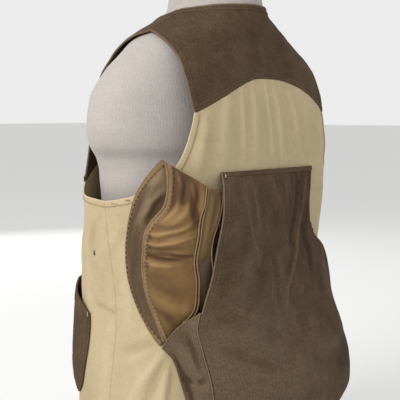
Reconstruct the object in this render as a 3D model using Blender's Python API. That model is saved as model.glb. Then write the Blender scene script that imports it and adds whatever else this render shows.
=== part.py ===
"""Unlined canvas game gilet on a limbless dress form.

Metres, +Z up. The front faces -Y and the wearer's left is +X. The origin is the
middle of the flat foot of the form. Every panel is drawn on one loose torso
surface in two coordinates: an angle in degrees, 0 at the middle of the back, 90
at the left side and 180 at the middle of the front, and a height.
"""
import math

import bpy
from mathutils import Vector

# Driving sizes
HEM = 0.100
UNDERARM = 0.458
ARCH_CORNER = (56.0, 0.581)
ARCH_TOP = 0.6305
ARCH_POWER_LEFT = 2.2
ARCH_POWER_RIGHT = 4.5
SHOULDER_TIP = 0.6945
NECK_SIDE = 0.7275
NECK_BACK = 0.7355
CLOTH = 0.0018
LINER = 0.0015
SEAM = 0.0004
LAYER = 0.0007
SIDE_GAP = 0.06
SHOULDER_GAP = 0.14

# The loose torso surface that the gilet hangs on: horizontal sections
# height, half width, depth behind, depth in front, middle, roundness behind, roundness in front
GILET_SECTIONS = (
    (0.000, 0.205, 0.152, 0.135, 0.000, 3.2, 2.6),
    (0.100, 0.205, 0.150, 0.134, 0.000, 3.2, 2.6),
    (0.180, 0.199, 0.142, 0.132, 0.000, 3.4, 2.6),
    (0.300, 0.184, 0.130, 0.138, 0.000, 3.8, 2.6),
    (0.380, 0.196, 0.132, 0.122, 0.000, 4.4, 2.6),
    (0.460, 0.208, 0.136, 0.105, 0.000, 4.4, 2.6),
    (0.520, 0.218, 0.125, 0.108, 0.006, 4.2, 2.5),
    (0.580, 0.224, 0.112, 0.112, 0.014, 3.9, 2.4),
    (0.630, 0.214, 0.096, 0.110, 0.023, 3.2, 2.3),
    (0.660, 0.192, 0.087, 0.102, 0.028, 2.7, 2.1),
    (0.680, 0.169, 0.083, 0.094, 0.030, 2.3, 2.0),
    (0.696, 0.143, 0.082, 0.087, 0.032, 2.1, 2.0),
    (0.711, 0.111, 0.080, 0.080, 0.033, 2.0, 2.0),
    (0.726, 0.084, 0.077, 0.076, 0.033, 2.0, 2.0),
    (0.740, 0.074, 0.074, 0.074, 0.033, 2.0, 2.0),
)

# The dress form: torso, shoulder caps and neck stump, same columns
FORM_SECTIONS = (
    (0.000, 0.160, 0.108, 0.096, 0.000, 2.4, 2.3),
    (0.012, 0.170, 0.116, 0.104, 0.000, 2.4, 2.3),
    (0.100, 0.176, 0.120, 0.108, 0.000, 2.4, 2.3),
    (0.200, 0.170, 0.112, 0.106, 0.000, 2.4, 2.3),
    (0.300, 0.156, 0.100, 0.102, 0.000, 2.4, 2.3),
    (0.400, 0.172, 0.108, 0.098, 0.000, 2.4, 2.3),
    (0.480, 0.188, 0.111, 0.094, 0.003, 2.4, 2.3),
    (0.515, 0.196, 0.108, 0.096, 0.006, 2.3, 2.2),
    (0.535, 0.211, 0.104, 0.098, 0.009, 2.2, 2.1),
    (0.560, 0.218, 0.100, 0.101, 0.012, 2.1, 2.0),
    (0.600, 0.217, 0.092, 0.100, 0.018, 2.1, 2.0),
    (0.640, 0.199, 0.083, 0.096, 0.025, 2.1, 2.0),
    (0.658, 0.184, 0.079, 0.090, 0.028, 2.1, 2.0),
    (0.6765, 0.1642, 0.0790, 0.0880, 0.030, 2.1, 2.0),
    (0.6925, 0.1396, 0.0798, 0.0842, 0.032, 2.0, 2.0),
    (0.7075, 0.1073, 0.0778, 0.0778, 0.033, 2.0, 2.0),
    (0.7220, 0.0814, 0.0750, 0.0740, 0.033, 2.0, 2.0),
    (0.7380, 0.0712, 0.0711, 0.0711, 0.033, 2.0, 2.0),
    (0.8000, 0.0660, 0.0660, 0.0660, 0.033, 2.0, 2.0),
    (0.8520, 0.0655, 0.0655, 0.0655, 0.033, 2.0, 2.0),
    (0.8590, 0.0620, 0.0620, 0.0620, 0.033, 2.0, 2.0),
    (0.8610, 0.0540, 0.0540, 0.0540, 0.033, 2.0, 2.0),
)
FORM_SEGMENTS = 48
FORM_FLATNESS = 0.62
# Shoulder caps of the form: angle, half width in degrees, foot, top, rise
CAP = (96.0, 17.0, 0.500, 0.668, 0.0125)

# Left armhole edge from the side seam up to the shoulder: angle, height
ARMHOLE_BACK = (
    (90.0, 0.4580), (83.0, 0.4615), (75.0, 0.4685), (68.0, 0.4820), (62.5, 0.4970),
    (59.5, 0.5130), (57.3, 0.5390), (56.2, 0.5640), (56.0, 0.5810),
)
ARMHOLE_YOKE = (
    (56.0, 0.5810), (58.7, 0.6012), (61.7, 0.6238), (66.2, 0.6500), (70.2, 0.6642),
    (74.5, 0.6750), (79.0, 0.6832), (84.5, 0.6900), (90.0, 0.6945),
)
ARMHOLE_FRONT = (
    (90.0, 0.4580), (96.0, 0.4605), (104.0, 0.4640), (110.0, 0.4695), (114.0, 0.4800),
)
ARMHOLE_PATCH = (
    (114.0, 0.4800), (116.5, 0.5000), (119.5, 0.5350), (121.0, 0.5750), (120.5, 0.6200),
    (117.0, 0.6480), (110.0, 0.6720), (100.0, 0.6875), (90.0, 0.6945),
)
# Neckline from the top of the front patch seam up to the side of the neck
NECKLINE_FRONT = (
    (165.0, 0.6200), (156.0, 0.6480), (147.0, 0.6760), (137.0, 0.6990), (124.0, 0.7140),
    (90.0, 0.7275),
)
NECK_POINT = (165.0, 0.6200)
NECK_BOTTOM = (180.0, 0.5850)
PATCH_COLUMNS = 8

# Soft folds of the cloth: angle, top, bottom, half width in degrees, lean in degrees, rise
FOLDS = (
    (-50.0, 0.690, 0.512, 18.0, 0.0, 0.0085),
    (47.0, 0.600, 0.470, 6.0, 4.0, 0.0030),
    (34.0, 0.620, 0.450, 6.0, 2.0, 0.0025),
    (21.0, 0.630, 0.460, 6.0, 0.0, 0.0030),
    (6.0, 0.635, 0.440, 6.0, -2.0, 0.0028),
    (-9.0, 0.630, 0.450, 6.0, 2.0, 0.0030),
    (-25.0, 0.630, 0.460, 6.0, -2.0, 0.0026),
    (-44.0, 0.600, 0.380, 6.0, -3.0, 0.0040),
    (72.0, 0.400, 0.130, 6.0, -6.0, 0.0030),
    (98.0, 0.450, 0.160, 6.5, 8.0, 0.0035),
    (116.0, 0.450, 0.120, 8.0, 4.0, 0.0040),
    (140.0, 0.560, 0.380, 6.0, -6.0, 0.0030),
    (158.0, 0.500, 0.140, 6.0, 2.0, 0.0030),
    (-72.0, 0.440, 0.130, 6.0, 4.0, 0.0035),
    (-97.0, 0.450, 0.150, 6.5, -4.0, 0.0035),
    (-118.0, 0.450, 0.120, 8.0, -4.0, 0.0040),
    (-142.0, 0.560, 0.360, 6.0, 6.0, 0.0030),
    (-160.0, 0.500, 0.140, 6.0, -2.0, 0.0030),
)

# Game bag: height, left angle, left stand-off, middle stand-off, right stand-off, right angle
BAG_ROWS = (
    (0.4990, 42.3, 0.0027, 0.0027, 0.0027, -40.4),
    (0.4750, 44.6, 0.0180, 0.0080, 0.0027, -38.4),
    (0.4500, 46.6, 0.0290, 0.0160, 0.0030, -37.4),
    (0.4150, 50.0, 0.0410, 0.0250, 0.0050, -38.4),
    (0.3950, 51.2, 0.0446, 0.0290, 0.0090, -41.0),
    (0.3750, 52.2, 0.0480, 0.0330, 0.0180, -46.0),
    (0.3400, 54.2, 0.0545, 0.0400, 0.0275, -49.2),
    (0.3000, 55.5, 0.0600, 0.0470, 0.0340, -53.0),
    (0.2600, 54.3, 0.0620, 0.0550, 0.0420, -56.5),
    (0.2200, 52.4, 0.0620, 0.0640, 0.0480, -58.0),
    (0.1850, 51.2, 0.0600, 0.0680, 0.0500, -58.0),
    (0.1550, 50.6, 0.0560, 0.0660, 0.0460, -57.0),
    (0.1300, 50.4, 0.0440, 0.0540, 0.0340, -55.0),
    (0.1120, 50.4, 0.0240, 0.0300, 0.0180, -53.0),
    (0.1020, 50.4, 0.0040, 0.0040, 0.0040, -51.0),
)
GUSSET_LEFT_LIFT = 0.0080
GUSSET_RIGHT_LIFT = 0.0015
# Where each gusset meets the tan panel, from its top down: height, angle
GUSSET_LEFT_TOP = 0.3270
GUSSET_LEFT = (
    (0.2600, 65.0), (0.2450, 61.3), (0.2150, 58.5), (0.1850, 56.0), (0.1500, 54.2), (0.1150, 53.0),
    (0.1020, 52.4),
)
GUSSET_RIGHT_TOP = 0.4150
GUSSET_RIGHT = (
    (0.4110, -40.2), (0.3950, -42.6), (0.3780, -48.4), (0.3560, -55.6), (0.3200, -62.5), (0.2800, -66.5),
    (0.2450, -68.5), (0.2150, -67.0), (0.1850, -65.0), (0.1500, -62.0), (0.1150, -58.0), (0.1020, -54.0),
)

# Liner, pulled out on the left. Four seams down its length: angle, height, stand-off
LIP_EDGE = (
    (64.8, 0.5199, 0.0100), (70.8, 0.4866, 0.0060), (75.1, 0.4572, 0.0040), (79.1, 0.4160, 0.0030),
    (80.8, 0.3774, 0.0026), (79.9, 0.3378, 0.0026), (75.1, 0.3018, 0.0028), (66.2, 0.2630, 0.0030),
)
LIP_SEAM = (
    (64.3, 0.5170, 0.0120), (62.7, 0.4943, 0.0190), (62.5, 0.4634, 0.0230), (67.1, 0.4311, 0.0260),
    (68.7, 0.3873, 0.0260), (68.7, 0.3459, 0.0220), (66.8, 0.3013, 0.0140), (64.7, 0.2690, 0.0050),
)
GUSSET_SEAM = (
    (51.0, 0.4803, 0.0180), (52.2, 0.4616, 0.0240), (53.7, 0.4456, 0.0300), (54.8, 0.4188, 0.0360),
    (55.7, 0.3902, 0.0390), (55.0, 0.3587, 0.0400), (55.5, 0.3200, 0.0360), (60.5, 0.2800, 0.0090),
)
STRIP_EDGE = (
    (43.6, 0.4719, 0.0120), (45.6, 0.4564, 0.0190), (48.1, 0.4389, 0.0260), (50.8, 0.4160, 0.0320),
    (51.5, 0.3924, 0.0350), (50.8, 0.3640, 0.0360), (51.0, 0.3300, 0.0340), (56.5, 0.2880, 0.0140),
)
LINER_SEAM = 0.0003

# Lower front pockets. Rows from the foot to the mouth: height at the rear, rear angle, height at the front
POCKET_ROWS = (
    (0.1680, 117.0, 0.1660),
    (0.1730, 112.5, 0.1800),
    (0.1860, 109.0, 0.2010),
    (0.2100, 107.2, 0.2300),
    (0.2400, 106.0, 0.2640),
    (0.2680, 105.9, 0.3000),
    (0.2910, 106.6, 0.3330),
)
POCKET_FRONT_ANGLE = 152.0
POCKET_SWELL = 0.0140

# Front closing
BAND_HALF_WIDTH = 0.017
BUTTON_HEIGHTS = (0.548, 0.468, 0.388, 0.308, 0.228)
BUTTON_RADIUS = 0.0095
BUTTON_DEPTH = 0.0036
BUTTON_SEGMENTS = 14

COLOURS = {
    "cover": (0.62, 0.57, 0.54, 0.85),
    "tan": (0.58, 0.46, 0.28, 0.80),
    "brown": (0.085, 0.055, 0.034, 0.85),
    "lip": (0.19, 0.12, 0.07, 0.80),
    "liner": (0.26, 0.17, 0.08, 0.45),
    "strip": (0.13, 0.08, 0.035, 0.70),
    "button": (0.10, 0.06, 0.03, 0.35),
}


# Tables read as smooth curves
def smooth(table, at, column):
    """Read one column of a table whose first column is `at`, with a curve that never overshoots."""
    if at <= table[0][0]:
        return table[0][column]
    if at >= table[-1][0]:
        return table[-1][column]
    low = max(i for i in range(len(table) - 1) if table[i][0] <= at)
    rises = [
        (table[i + 1][column] - table[i][column]) / (table[i + 1][0] - table[i][0])
        for i in range(len(table) - 1)
    ]

    def slope(i):
        if i in (0, len(table) - 1):
            return rises[min(i, len(rises) - 1)]
        before, after = rises[i - 1], rises[i]
        if before * after <= 0:
            return 0.0
        return 2 * before * after / (before + after)

    span = table[low + 1][0] - table[low][0]
    t = (at - table[low][0]) / span
    return (
        (2 * t**3 - 3 * t**2 + 1) * table[low][column]
        + (t**3 - 2 * t**2 + t) * slope(low) * span
        + (3 * t**2 - 2 * t**3) * table[low + 1][column]
        + (t**3 - t**2) * slope(low + 1) * span
    )


def along(points, t):
    """The point at fraction t of a smooth curve through a short list of points."""
    last = len(points) - 1
    place = min(max(t, 0.0), 1.0) * last
    i = min(int(place), last - 1)
    f = place - i
    before = points[max(i - 1, 0)]
    a, b = points[i], points[i + 1]
    after = points[min(i + 2, last)]
    result = []
    for p0, p1, p2, p3 in zip(before, a, b, after):
        m1, m2 = (p2 - p0) / 2, (p3 - p1) / 2
        result.append(
            (2 * f**3 - 3 * f**2 + 1) * p1
            + (f**3 - 2 * f**2 + f) * m1
            + (3 * f**2 - 2 * f**3) * p2
            + (f**3 - f**2) * m2
        )
    return tuple(result)


def lerp(a, b, t):
    """The point at fraction t of the straight line from a to b."""
    return tuple(p + (q - p) * t for p, q in zip(a, b))


def steps(first, last, count):
    """count + 1 even values from first to last."""
    return [first + (last - first) * i / count for i in range(count + 1)]


# The torso surface
def section_point(sections, angle, height):
    """The point of a section at an angle from the middle of the back."""
    half_width, back, front, middle, back_power, front_power = (
        smooth(sections, height, column) for column in range(1, 7)
    )
    turn = math.radians(angle)
    side, rear = math.sin(turn), math.cos(turn)
    depth, power = (back, back_power) if rear > 0 else (front, front_power)
    reach = ((abs(side) / half_width) ** power + (abs(rear) / depth) ** power) ** (-1 / power)
    return Vector((reach * side, middle + reach * rear, height))


def fold_rise(angle, height):
    """How far the soft folds lift the cloth here."""
    total = 0.0
    for middle, top, bottom, half_width, lean, rise in FOLDS:
        if not bottom < height < top:
            continue
        down = (top - height) / (top - bottom)
        across = ((angle - middle - lean * down + 180.0) % 360.0 - 180.0) / half_width
        if abs(across) < 2.5:
            total += rise * math.exp(-across * across) * math.sin(math.pi * down) ** 0.7
    return total


def gilet_point(angle, height, out=0.0):
    """A point on the outer face of the gilet, or `out` in front of it."""
    turn, climb = 0.5, 0.0015
    point = section_point(GILET_SECTIONS, angle, height)
    around = (section_point(GILET_SECTIONS, angle + turn, height)
              - section_point(GILET_SECTIONS, angle - turn, height))
    up = (section_point(GILET_SECTIONS, angle, height + climb)
          - section_point(GILET_SECTIONS, angle, height - climb))
    return point + up.cross(around).normalized() * (out + fold_rise(angle, height))


# Solids from grids of points
def add_object(name, verts, faces, finish):
    """Make one named mesh object with its own material."""
    mesh = bpy.data.meshes.new(name)
    mesh.from_pydata([tuple(v) for v in verts], [], faces)
    mesh.update()
    mesh.shade_smooth()
    mesh.set_sharp_from_angle(angle=math.radians(40))
    obj = bpy.data.objects.new(name, mesh)
    bpy.context.scene.collection.objects.link(obj)
    material = bpy.data.materials.new(name)
    material.use_nodes = True
    shader = material.node_tree.nodes["Principled BSDF"]
    red, green, blue, roughness = COLOURS[finish]
    shader.inputs["Base Color"].default_value = (red, green, blue, 1.0)
    shader.inputs["Roughness"].default_value = roughness
    shader.inputs["Metallic"].default_value = 0.0
    mesh.materials.append(material)


def grid_normals(grid):
    """Unit normals of a grid of points, rows running up and columns running towards larger angles."""
    rows, cols = len(grid), len(grid[0])
    normals = []
    for i in range(rows):
        line = []
        for j in range(cols):
            up = grid[min(i + 1, rows - 1)][j] - grid[max(i - 1, 0)][j]
            across = grid[i][min(j + 1, cols - 1)] - grid[i][max(j - 1, 0)]
            line.append(up.cross(across).normalized())
        normals.append(line)
    return normals


def panel(name, rows, finish, thickness=CLOTH):
    """A closed wall that lies on the torso surface: rows of (angle, height) or (angle, height, stand-off)."""
    grid = [[gilet_point(*place) for place in row] for row in rows]
    back = [[gilet_point(place[0], place[1], sum(place[2:]) - thickness) for place in row] for row in rows]
    wall(name, grid, back, finish)


def free_sheet(name, rows, finish):
    """A closed wall that stands off the torso surface, as thick as the cloth across its own slope."""
    grid = [[gilet_point(*place) for place in row] for row in rows]
    normals = grid_normals(grid)
    back = [[point - normal * CLOTH for point, normal in zip(*pair)] for pair in zip(grid, normals)]
    wall(name, grid, back, finish)


def wall(name, grid, back, finish):
    """Close the space between two like grids, rows going up and columns towards larger angles."""
    rows, cols = len(grid), len(grid[0])
    outer = [point for row in grid for point in row]
    inner = [point for row in back for point in row]
    start = len(outer)

    def at(i, j):
        return i * cols + j

    faces = []
    for i in range(rows - 1):
        for j in range(cols - 1):
            a, b, c, d = at(i, j), at(i + 1, j), at(i + 1, j + 1), at(i, j + 1)
            for corner in ((a, b, c), (a, c, d)):
                faces.append(corner)
                faces.append(tuple(start + k for k in reversed(corner)))
    rim = [at(0, j) for j in range(cols)] + [at(i, cols - 1) for i in range(1, rows)]
    rim += [at(rows - 1, j) for j in range(cols - 2, -1, -1)] + [at(i, 0) for i in range(rows - 2, 0, -1)]
    for a, b in zip(rim, rim[1:] + rim[:1]):
        faces.append((a, b, start + b, start + a))
    add_object(name, outer + inner, faces, finish)


# The dress form
def form_point(angle, height):
    """A point of the form, with its rounded shoulder caps."""
    middle, half_width, foot, top, rise = CAP
    point = section_point(FORM_SECTIONS, angle, height)
    if foot < height < top:
        across = (abs(angle) - middle) / half_width
        lift = rise * math.exp(-across * across) * math.sin(math.pi * (height - foot) / (top - foot))
        outward = Vector((point.x, point.y * 2.0, 0.0)).normalized()
        point += outward * lift
    return point


def build_form():
    """One smooth closed body from the flat foot to the top of the neck stump."""
    heights = [0.0, 0.012] + steps(0.06, 0.48, 7) + steps(0.505, 0.649, 8)
    heights += [0.664, 0.6765, 0.6855, 0.6935, 0.701, 0.708, 0.7145, 0.721, 0.729, 0.738, 0.775, 0.852, 0.859, 0.861]
    verts = []
    for height in heights:
        for k in range(FORM_SEGMENTS):
            turn = 2 * math.pi * k / FORM_SEGMENTS
            angle = math.degrees(math.atan2(math.sin(turn), math.cos(turn) * FORM_FLATNESS))
            verts.append(form_point(angle, height))
    faces = []
    for i in range(len(heights) - 1):
        for k in range(FORM_SEGMENTS):
            a, b = i * FORM_SEGMENTS + k, i * FORM_SEGMENTS + (k + 1) % FORM_SEGMENTS
            faces.append((a, a + FORM_SEGMENTS, b + FORM_SEGMENTS, b))
    faces.append(tuple(range(FORM_SEGMENTS)))
    last = (len(heights) - 1) * FORM_SEGMENTS
    faces.append(tuple(last + k for k in reversed(range(FORM_SEGMENTS))))
    add_object("dress_form", verts, faces, "cover")


# Body panels
def arch(angle):
    """Height of the yoke's lower edge at an angle."""
    power = ARCH_POWER_LEFT if angle > 0 else ARCH_POWER_RIGHT
    return ARCH_TOP - (ARCH_TOP - ARCH_CORNER[1]) * abs(angle / ARCH_CORNER[0]) ** power


def signed(place, side):
    """Mirror a place on the surface for the right side."""
    return (place[0] * side,) + tuple(place[1:])


def build_back():
    """The tan back from the hem to the yoke, between the side seams."""
    across = steps(-1.0, 1.0, 44)
    rows = []
    for height in steps(HEM, UNDERARM, 7)[:-1]:
        rows.append([((90.0 - SIDE_GAP) * u, height) for u in across])
    for v in steps(0.0, 1.0, 9):
        angle, height = along(ARMHOLE_BACK, v)
        angle = min(angle, 90.0 - SIDE_GAP)
        rows.append([(angle * u, height + (arch(ARCH_CORNER[0] * u) - ARCH_CORNER[1]) * v**3 - SEAM * v)
                     for u in across])
    panel("back_panel", rows, "tan")


def build_yoke():
    """The brown back yoke, from its arch to the neck and the tops of the shoulders."""
    neck_share = 0.58
    across = steps(-1.0, 1.0, 44)
    tip = (90.0 - SHOULDER_GAP, SHOULDER_TIP)
    rows = []
    for v in steps(0.0, 1.0, 8):
        side = along(ARMHOLE_YOKE, v)
        straight = lerp(ARCH_CORNER, tip, v)
        row = []
        for u in across:
            share = abs(u)
            low = (ARCH_CORNER[0] * share, arch(ARCH_CORNER[0] * u))
            if share < neck_share:
                turn = share / neck_share
                high = ((90.0 - SHOULDER_GAP) * turn, NECK_BACK + (NECK_SIDE - NECK_BACK) * turn**2)
            else:
                drop = (share - neck_share) / (1.0 - neck_share)
                high = (90.0 - SHOULDER_GAP, NECK_SIDE + (SHOULDER_TIP - NECK_SIDE) * drop**1.3)
            angle, height = lerp(low, high, v)
            angle += (min(side[0], 90.0 - SHOULDER_GAP) - straight[0]) * share**3
            height += (side[1] - straight[1]) * share**3
            row.append((math.copysign(angle, u), height))
        rows.append(row)
    panel("back_yoke", rows, "brown")


def patch_seam(u):
    """The seam between the tan front and the brown shoulder patch, from the armhole to the neckline."""
    angle, height = lerp(ARMHOLE_FRONT[-1], NECK_POINT, u)
    return angle, height - 0.012 * math.sin(math.pi * u)


def build_front(side, name):
    """One tan front, from the hem up to the armhole, the shoulder patch and the neckline."""
    middle = 180.0 - SIDE_GAP * 2
    last = (middle, NECK_BOTTOM[1])
    top = [along(ARMHOLE_FRONT, t) for t in steps(0.0, 1.0, 6)]
    top[0] = (90.0 + SIDE_GAP, UNDERARM)
    top += [patch_seam(t) for t in steps(0.0, 1.0, PATCH_COLUMNS)[1:]]
    top += [lerp(NECK_POINT, last, t) for t in steps(0.0, 1.0, 3)[1:]]
    rows = []
    for v in steps(0.0, 1.0, 13):
        rows.append([(angle, HEM + (height - 2 * SEAM - HEM) * v) for angle, height in top])
    place_half(name, rows, side, "tan")


def build_patch(side, name):
    """One brown front yoke, from its seam up over the chest to the shoulder seam."""
    across = steps(0.0, 1.0, PATCH_COLUMNS)
    tip, neck = (90.0 + SHOULDER_GAP, SHOULDER_TIP), (90.0 + SHOULDER_GAP, NECK_SIDE)
    rows = []
    for v in steps(0.0, 1.0, 11):
        outer, inner = along(ARMHOLE_PATCH, v), along(NECKLINE_FRONT, v)
        row = []
        for u in across:
            angle, height = lerp(outer, inner, u)
            seam = patch_seam(u)
            straight = lerp(ARMHOLE_PATCH[0], NECK_POINT, u)
            height += (seam[1] - straight[1]) * (1.0 - v) ** 2
            crest = NECK_SIDE + (SHOULDER_TIP - NECK_SIDE) * (1.0 - u) ** 1.3
            height += (crest - lerp(tip, neck, u)[1]) * v**2
            row.append((max(angle, 90.0 + SHOULDER_GAP), height))
        rows.append(row)
    place_half(name, rows, side, "brown")


def place_half(name, rows, side, finish):
    """Build a left-side wall, or its mirror on the right."""
    if side < 0:
        rows = [[signed(place, side) for place in reversed(row)] for row in rows]
    panel(name, rows, finish)


def build_closing():
    """The button band down the front and its buttons."""
    rows = []
    out = CLOTH + 2 * LAYER
    for height in steps(HEM, NECK_BOTTOM[1] - 0.006, 16):
        front = -section_point(GILET_SECTIONS, 180.0, height).y
        half = math.degrees(math.atan(BAND_HALF_WIDTH / front))
        rows.append([(180.0 + half * u, height, out) for u in steps(-1.0, 1.0, 3)])
    panel("button_band", rows, "tan")
    for number, height in enumerate(BUTTON_HEIGHTS, start=1):
        build_button(f"button_{number}", height, out + SEAM)


def build_button(name, height, out):
    """A turned button with a raised rim, facing forwards."""
    profile = ((0.0, 0.0), (0.80, 0.0), (1.0, 0.35), (1.0, 0.75), (0.86, 1.0), (0.66, 0.80), (0.0, 0.72))
    seat = gilet_point(180.0, height, out)
    up = (gilet_point(180.0, height + 0.006, out) - gilet_point(180.0, height - 0.006, out)).normalized()
    right = Vector((1.0, 0.0, 0.0))
    facing = right.cross(up).normalized()
    verts, faces = [seat.copy()], []
    for reach, depth in profile[1:-1]:
        for k in range(BUTTON_SEGMENTS):
            turn = 2 * math.pi * k / BUTTON_SEGMENTS
            verts.append(seat + (right * math.cos(turn) + up * math.sin(turn)) * BUTTON_RADIUS * reach
                         + facing * BUTTON_DEPTH * depth)
    verts.append(seat + facing * BUTTON_DEPTH * profile[-1][1])
    rings, top = len(profile) - 2, len(verts) - 1
    for k in range(BUTTON_SEGMENTS):
        n = (k + 1) % BUTTON_SEGMENTS
        faces.append((0, 1 + n, 1 + k))
        for i in range(rings - 1):
            a, b = 1 + i * BUTTON_SEGMENTS + k, 1 + i * BUTTON_SEGMENTS + n
            faces.append((a, b, b + BUTTON_SEGMENTS, a + BUTTON_SEGMENTS))
        ring = 1 + (rings - 1) * BUTTON_SEGMENTS
        faces.append((ring + k, ring + n, top))
    add_object(name, verts, faces, "button")


def build_pocket(side, name):
    """One lower front pocket, swelling forwards, with a slanted open mouth."""
    across = steps(0.0, 1.0, 9)
    rows = []
    for v in steps(0.0, 1.0, 8):
        rear_height, rear_angle, front_height = along(POCKET_ROWS, v)
        row = []
        for u in across:
            angle = rear_angle + (POCKET_FRONT_ANGLE - rear_angle) * u
            height = rear_height + (front_height - rear_height) * min(1.0, u * 2.2)
            swell = math.sin(math.pi * u) ** 0.8 * math.sin(math.pi * (0.08 + 0.72 * v)) ** 0.9
            swell = max(swell - 0.12, 0.0)
            row.append((angle, height, CLOTH + LAYER + POCKET_SWELL * swell))
        rows.append(row)
    place_half(name, rows, side, "brown")


# Game bag
def bag_place(height, u):
    """A place on the bag's main panel: u is -1 at the right edge, 0 in the middle and 1 at the left edge."""
    left_angle, left_out, middle_out, right_out, right_angle = (
        smooth(BAG_TABLE, -height, column) for column in range(1, 6)
    )
    angle = (left_angle + right_angle) / 2 + (left_angle - right_angle) / 2 * u
    edge = left_out if u > 0 else right_out
    return angle, height, middle_out + (edge - middle_out) * abs(u) ** 1.8


BAG_TABLE = tuple((-row[0],) + tuple(row[1:]) for row in BAG_ROWS)


def build_bag():
    """The brown main panel of the game bag, standing off the back."""
    heights = [0.102, 0.107, 0.113, 0.122, 0.134, 0.150] + steps(0.172, 0.478, 12) + [0.489, 0.4988]
    rows = [[bag_place(height, u) for u in steps(-1.0, 1.0, 18)] for height in heights]
    free_sheet("bag_panel", rows, "brown")


def build_bag_gusset(side, name):
    """One lower side of the bag, from the main panel's edge forwards to the tan body."""
    top, front_line, tip_lift = (
        (GUSSET_LEFT_TOP, GUSSET_LEFT, GUSSET_LEFT_LIFT) if side > 0
        else (GUSSET_RIGHT_TOP, GUSSET_RIGHT, GUSSET_RIGHT_LIFT)
    )
    front_table = tuple((-height, angle) for height, angle in front_line)
    foot = front_line[-1][0] + SEAM
    rows = []
    for v in steps(0.0, 1.0, 12 if side > 0 else 16):
        rear_height = foot + (top - foot) * v
        front_height = foot + (front_line[0][0] - foot) * v
        angle, height, out = bag_place(rear_height, side)
        rear = (angle + side * 0.12, height, max(out - CLOTH - 3 * LAYER, CLOTH + LAYER))
        front_angle = smooth(front_table, -front_height, 1)
        front = (front_angle, front_height, CLOTH + LAYER + tip_lift * v**6)
        row = []
        for u in steps(0.0, 1.0, 6):
            angle, height, out = lerp(rear, front, u)
            belly = 0.006 * math.sin(math.pi * u) * math.sin(math.pi * min(v * 1.2, 1.0))
            row.append((angle, height, out + belly))
        rows.append(row if side > 0 else list(reversed(row)))
    free_sheet(name, rows, "brown")


def build_strip(name, rear_line, front_line, columns, belly, finish, rows_count=14):
    """A strip of the liner between two seam lines, from its lower tip to its upper tip."""
    rows = []
    for v in steps(0.0, 1.0, rows_count):
        rear, front = along(rear_line, 1.0 - v), along(front_line, 1.0 - v)
        width = (gilet_point(*rear) - gilet_point(*front)).length
        margin = min(LINER_SEAM / width, 0.2)
        row = []
        for u in steps(margin, 1.0 - margin, columns):
            angle, height, out = lerp(rear, front, u)
            row.append((angle, height, out + belly * math.sin(math.pi * u) * math.sin(math.pi * v)))
        rows.append(row)
    panel(name, rows, finish, LINER)


def main():
    for old in list(bpy.data.objects):
        bpy.data.objects.remove(old, do_unlink=True)
    build_form()
    build_back()
    build_yoke()
    build_closing()
    build_bag()
    for side, word in ((1, "left"), (-1, "right")):
        build_front(side, f"front_{word}")
        build_patch(side, f"front_yoke_{word}")
        build_pocket(side, f"pocket_{word}")
        build_bag_gusset(side, f"bag_gusset_{word}")
    build_strip("liner_lip", LIP_SEAM, LIP_EDGE, 3, 0.003, "lip")
    build_strip("liner_gusset", GUSSET_SEAM, LIP_SEAM, 7, 0.008, "liner")
    build_strip("liner_strip", STRIP_EDGE, GUSSET_SEAM, 2, 0.001, "strip")


main()
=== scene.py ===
"""Looks of the unlined canvas gilet and its dress form.

Every cloth piece is a fine shell on the form of its CAD solid. The body panels lie
on one loose torso surface read by angle (0 middle of the back, 90 wearer's left,
180 middle of the front) and height; the bag, pockets and liner have their own.
Metres throughout, front towards -Y, wearer's left towards +X.
"""
import math
import random

import bpy
from mathutils import Matrix, Vector, noise


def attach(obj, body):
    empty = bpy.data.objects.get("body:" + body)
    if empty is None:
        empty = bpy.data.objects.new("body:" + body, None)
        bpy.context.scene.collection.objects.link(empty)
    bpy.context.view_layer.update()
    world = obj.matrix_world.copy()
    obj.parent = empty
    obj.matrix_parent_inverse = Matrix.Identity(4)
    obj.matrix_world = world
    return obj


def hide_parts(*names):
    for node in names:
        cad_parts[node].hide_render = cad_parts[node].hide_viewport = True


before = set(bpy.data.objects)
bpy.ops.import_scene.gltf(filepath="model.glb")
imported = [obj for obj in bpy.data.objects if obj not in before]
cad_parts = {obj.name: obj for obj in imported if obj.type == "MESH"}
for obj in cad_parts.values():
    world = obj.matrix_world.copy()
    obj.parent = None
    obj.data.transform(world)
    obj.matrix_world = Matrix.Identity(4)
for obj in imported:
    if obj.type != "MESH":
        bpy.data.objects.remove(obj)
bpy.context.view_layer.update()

BODY = "root"

# Driving sizes, as in the part's source
HEM = 0.1
UNDERARM = 0.458
ARCH_CORNER = (56.0, 0.581)
ARCH_TOP = 0.6305
ARCH_POWER_LEFT = 2.2
ARCH_POWER_RIGHT = 4.5
SHOULDER_TIP = 0.6945
NECK_SIDE = 0.7275
NECK_BACK = 0.7355
CLOTH = 0.0018
LINER = 0.0015
SEAM = 0.0004
LAYER = 0.0007
SIDE_GAP = 0.06
SHOULDER_GAP = 0.14

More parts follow.
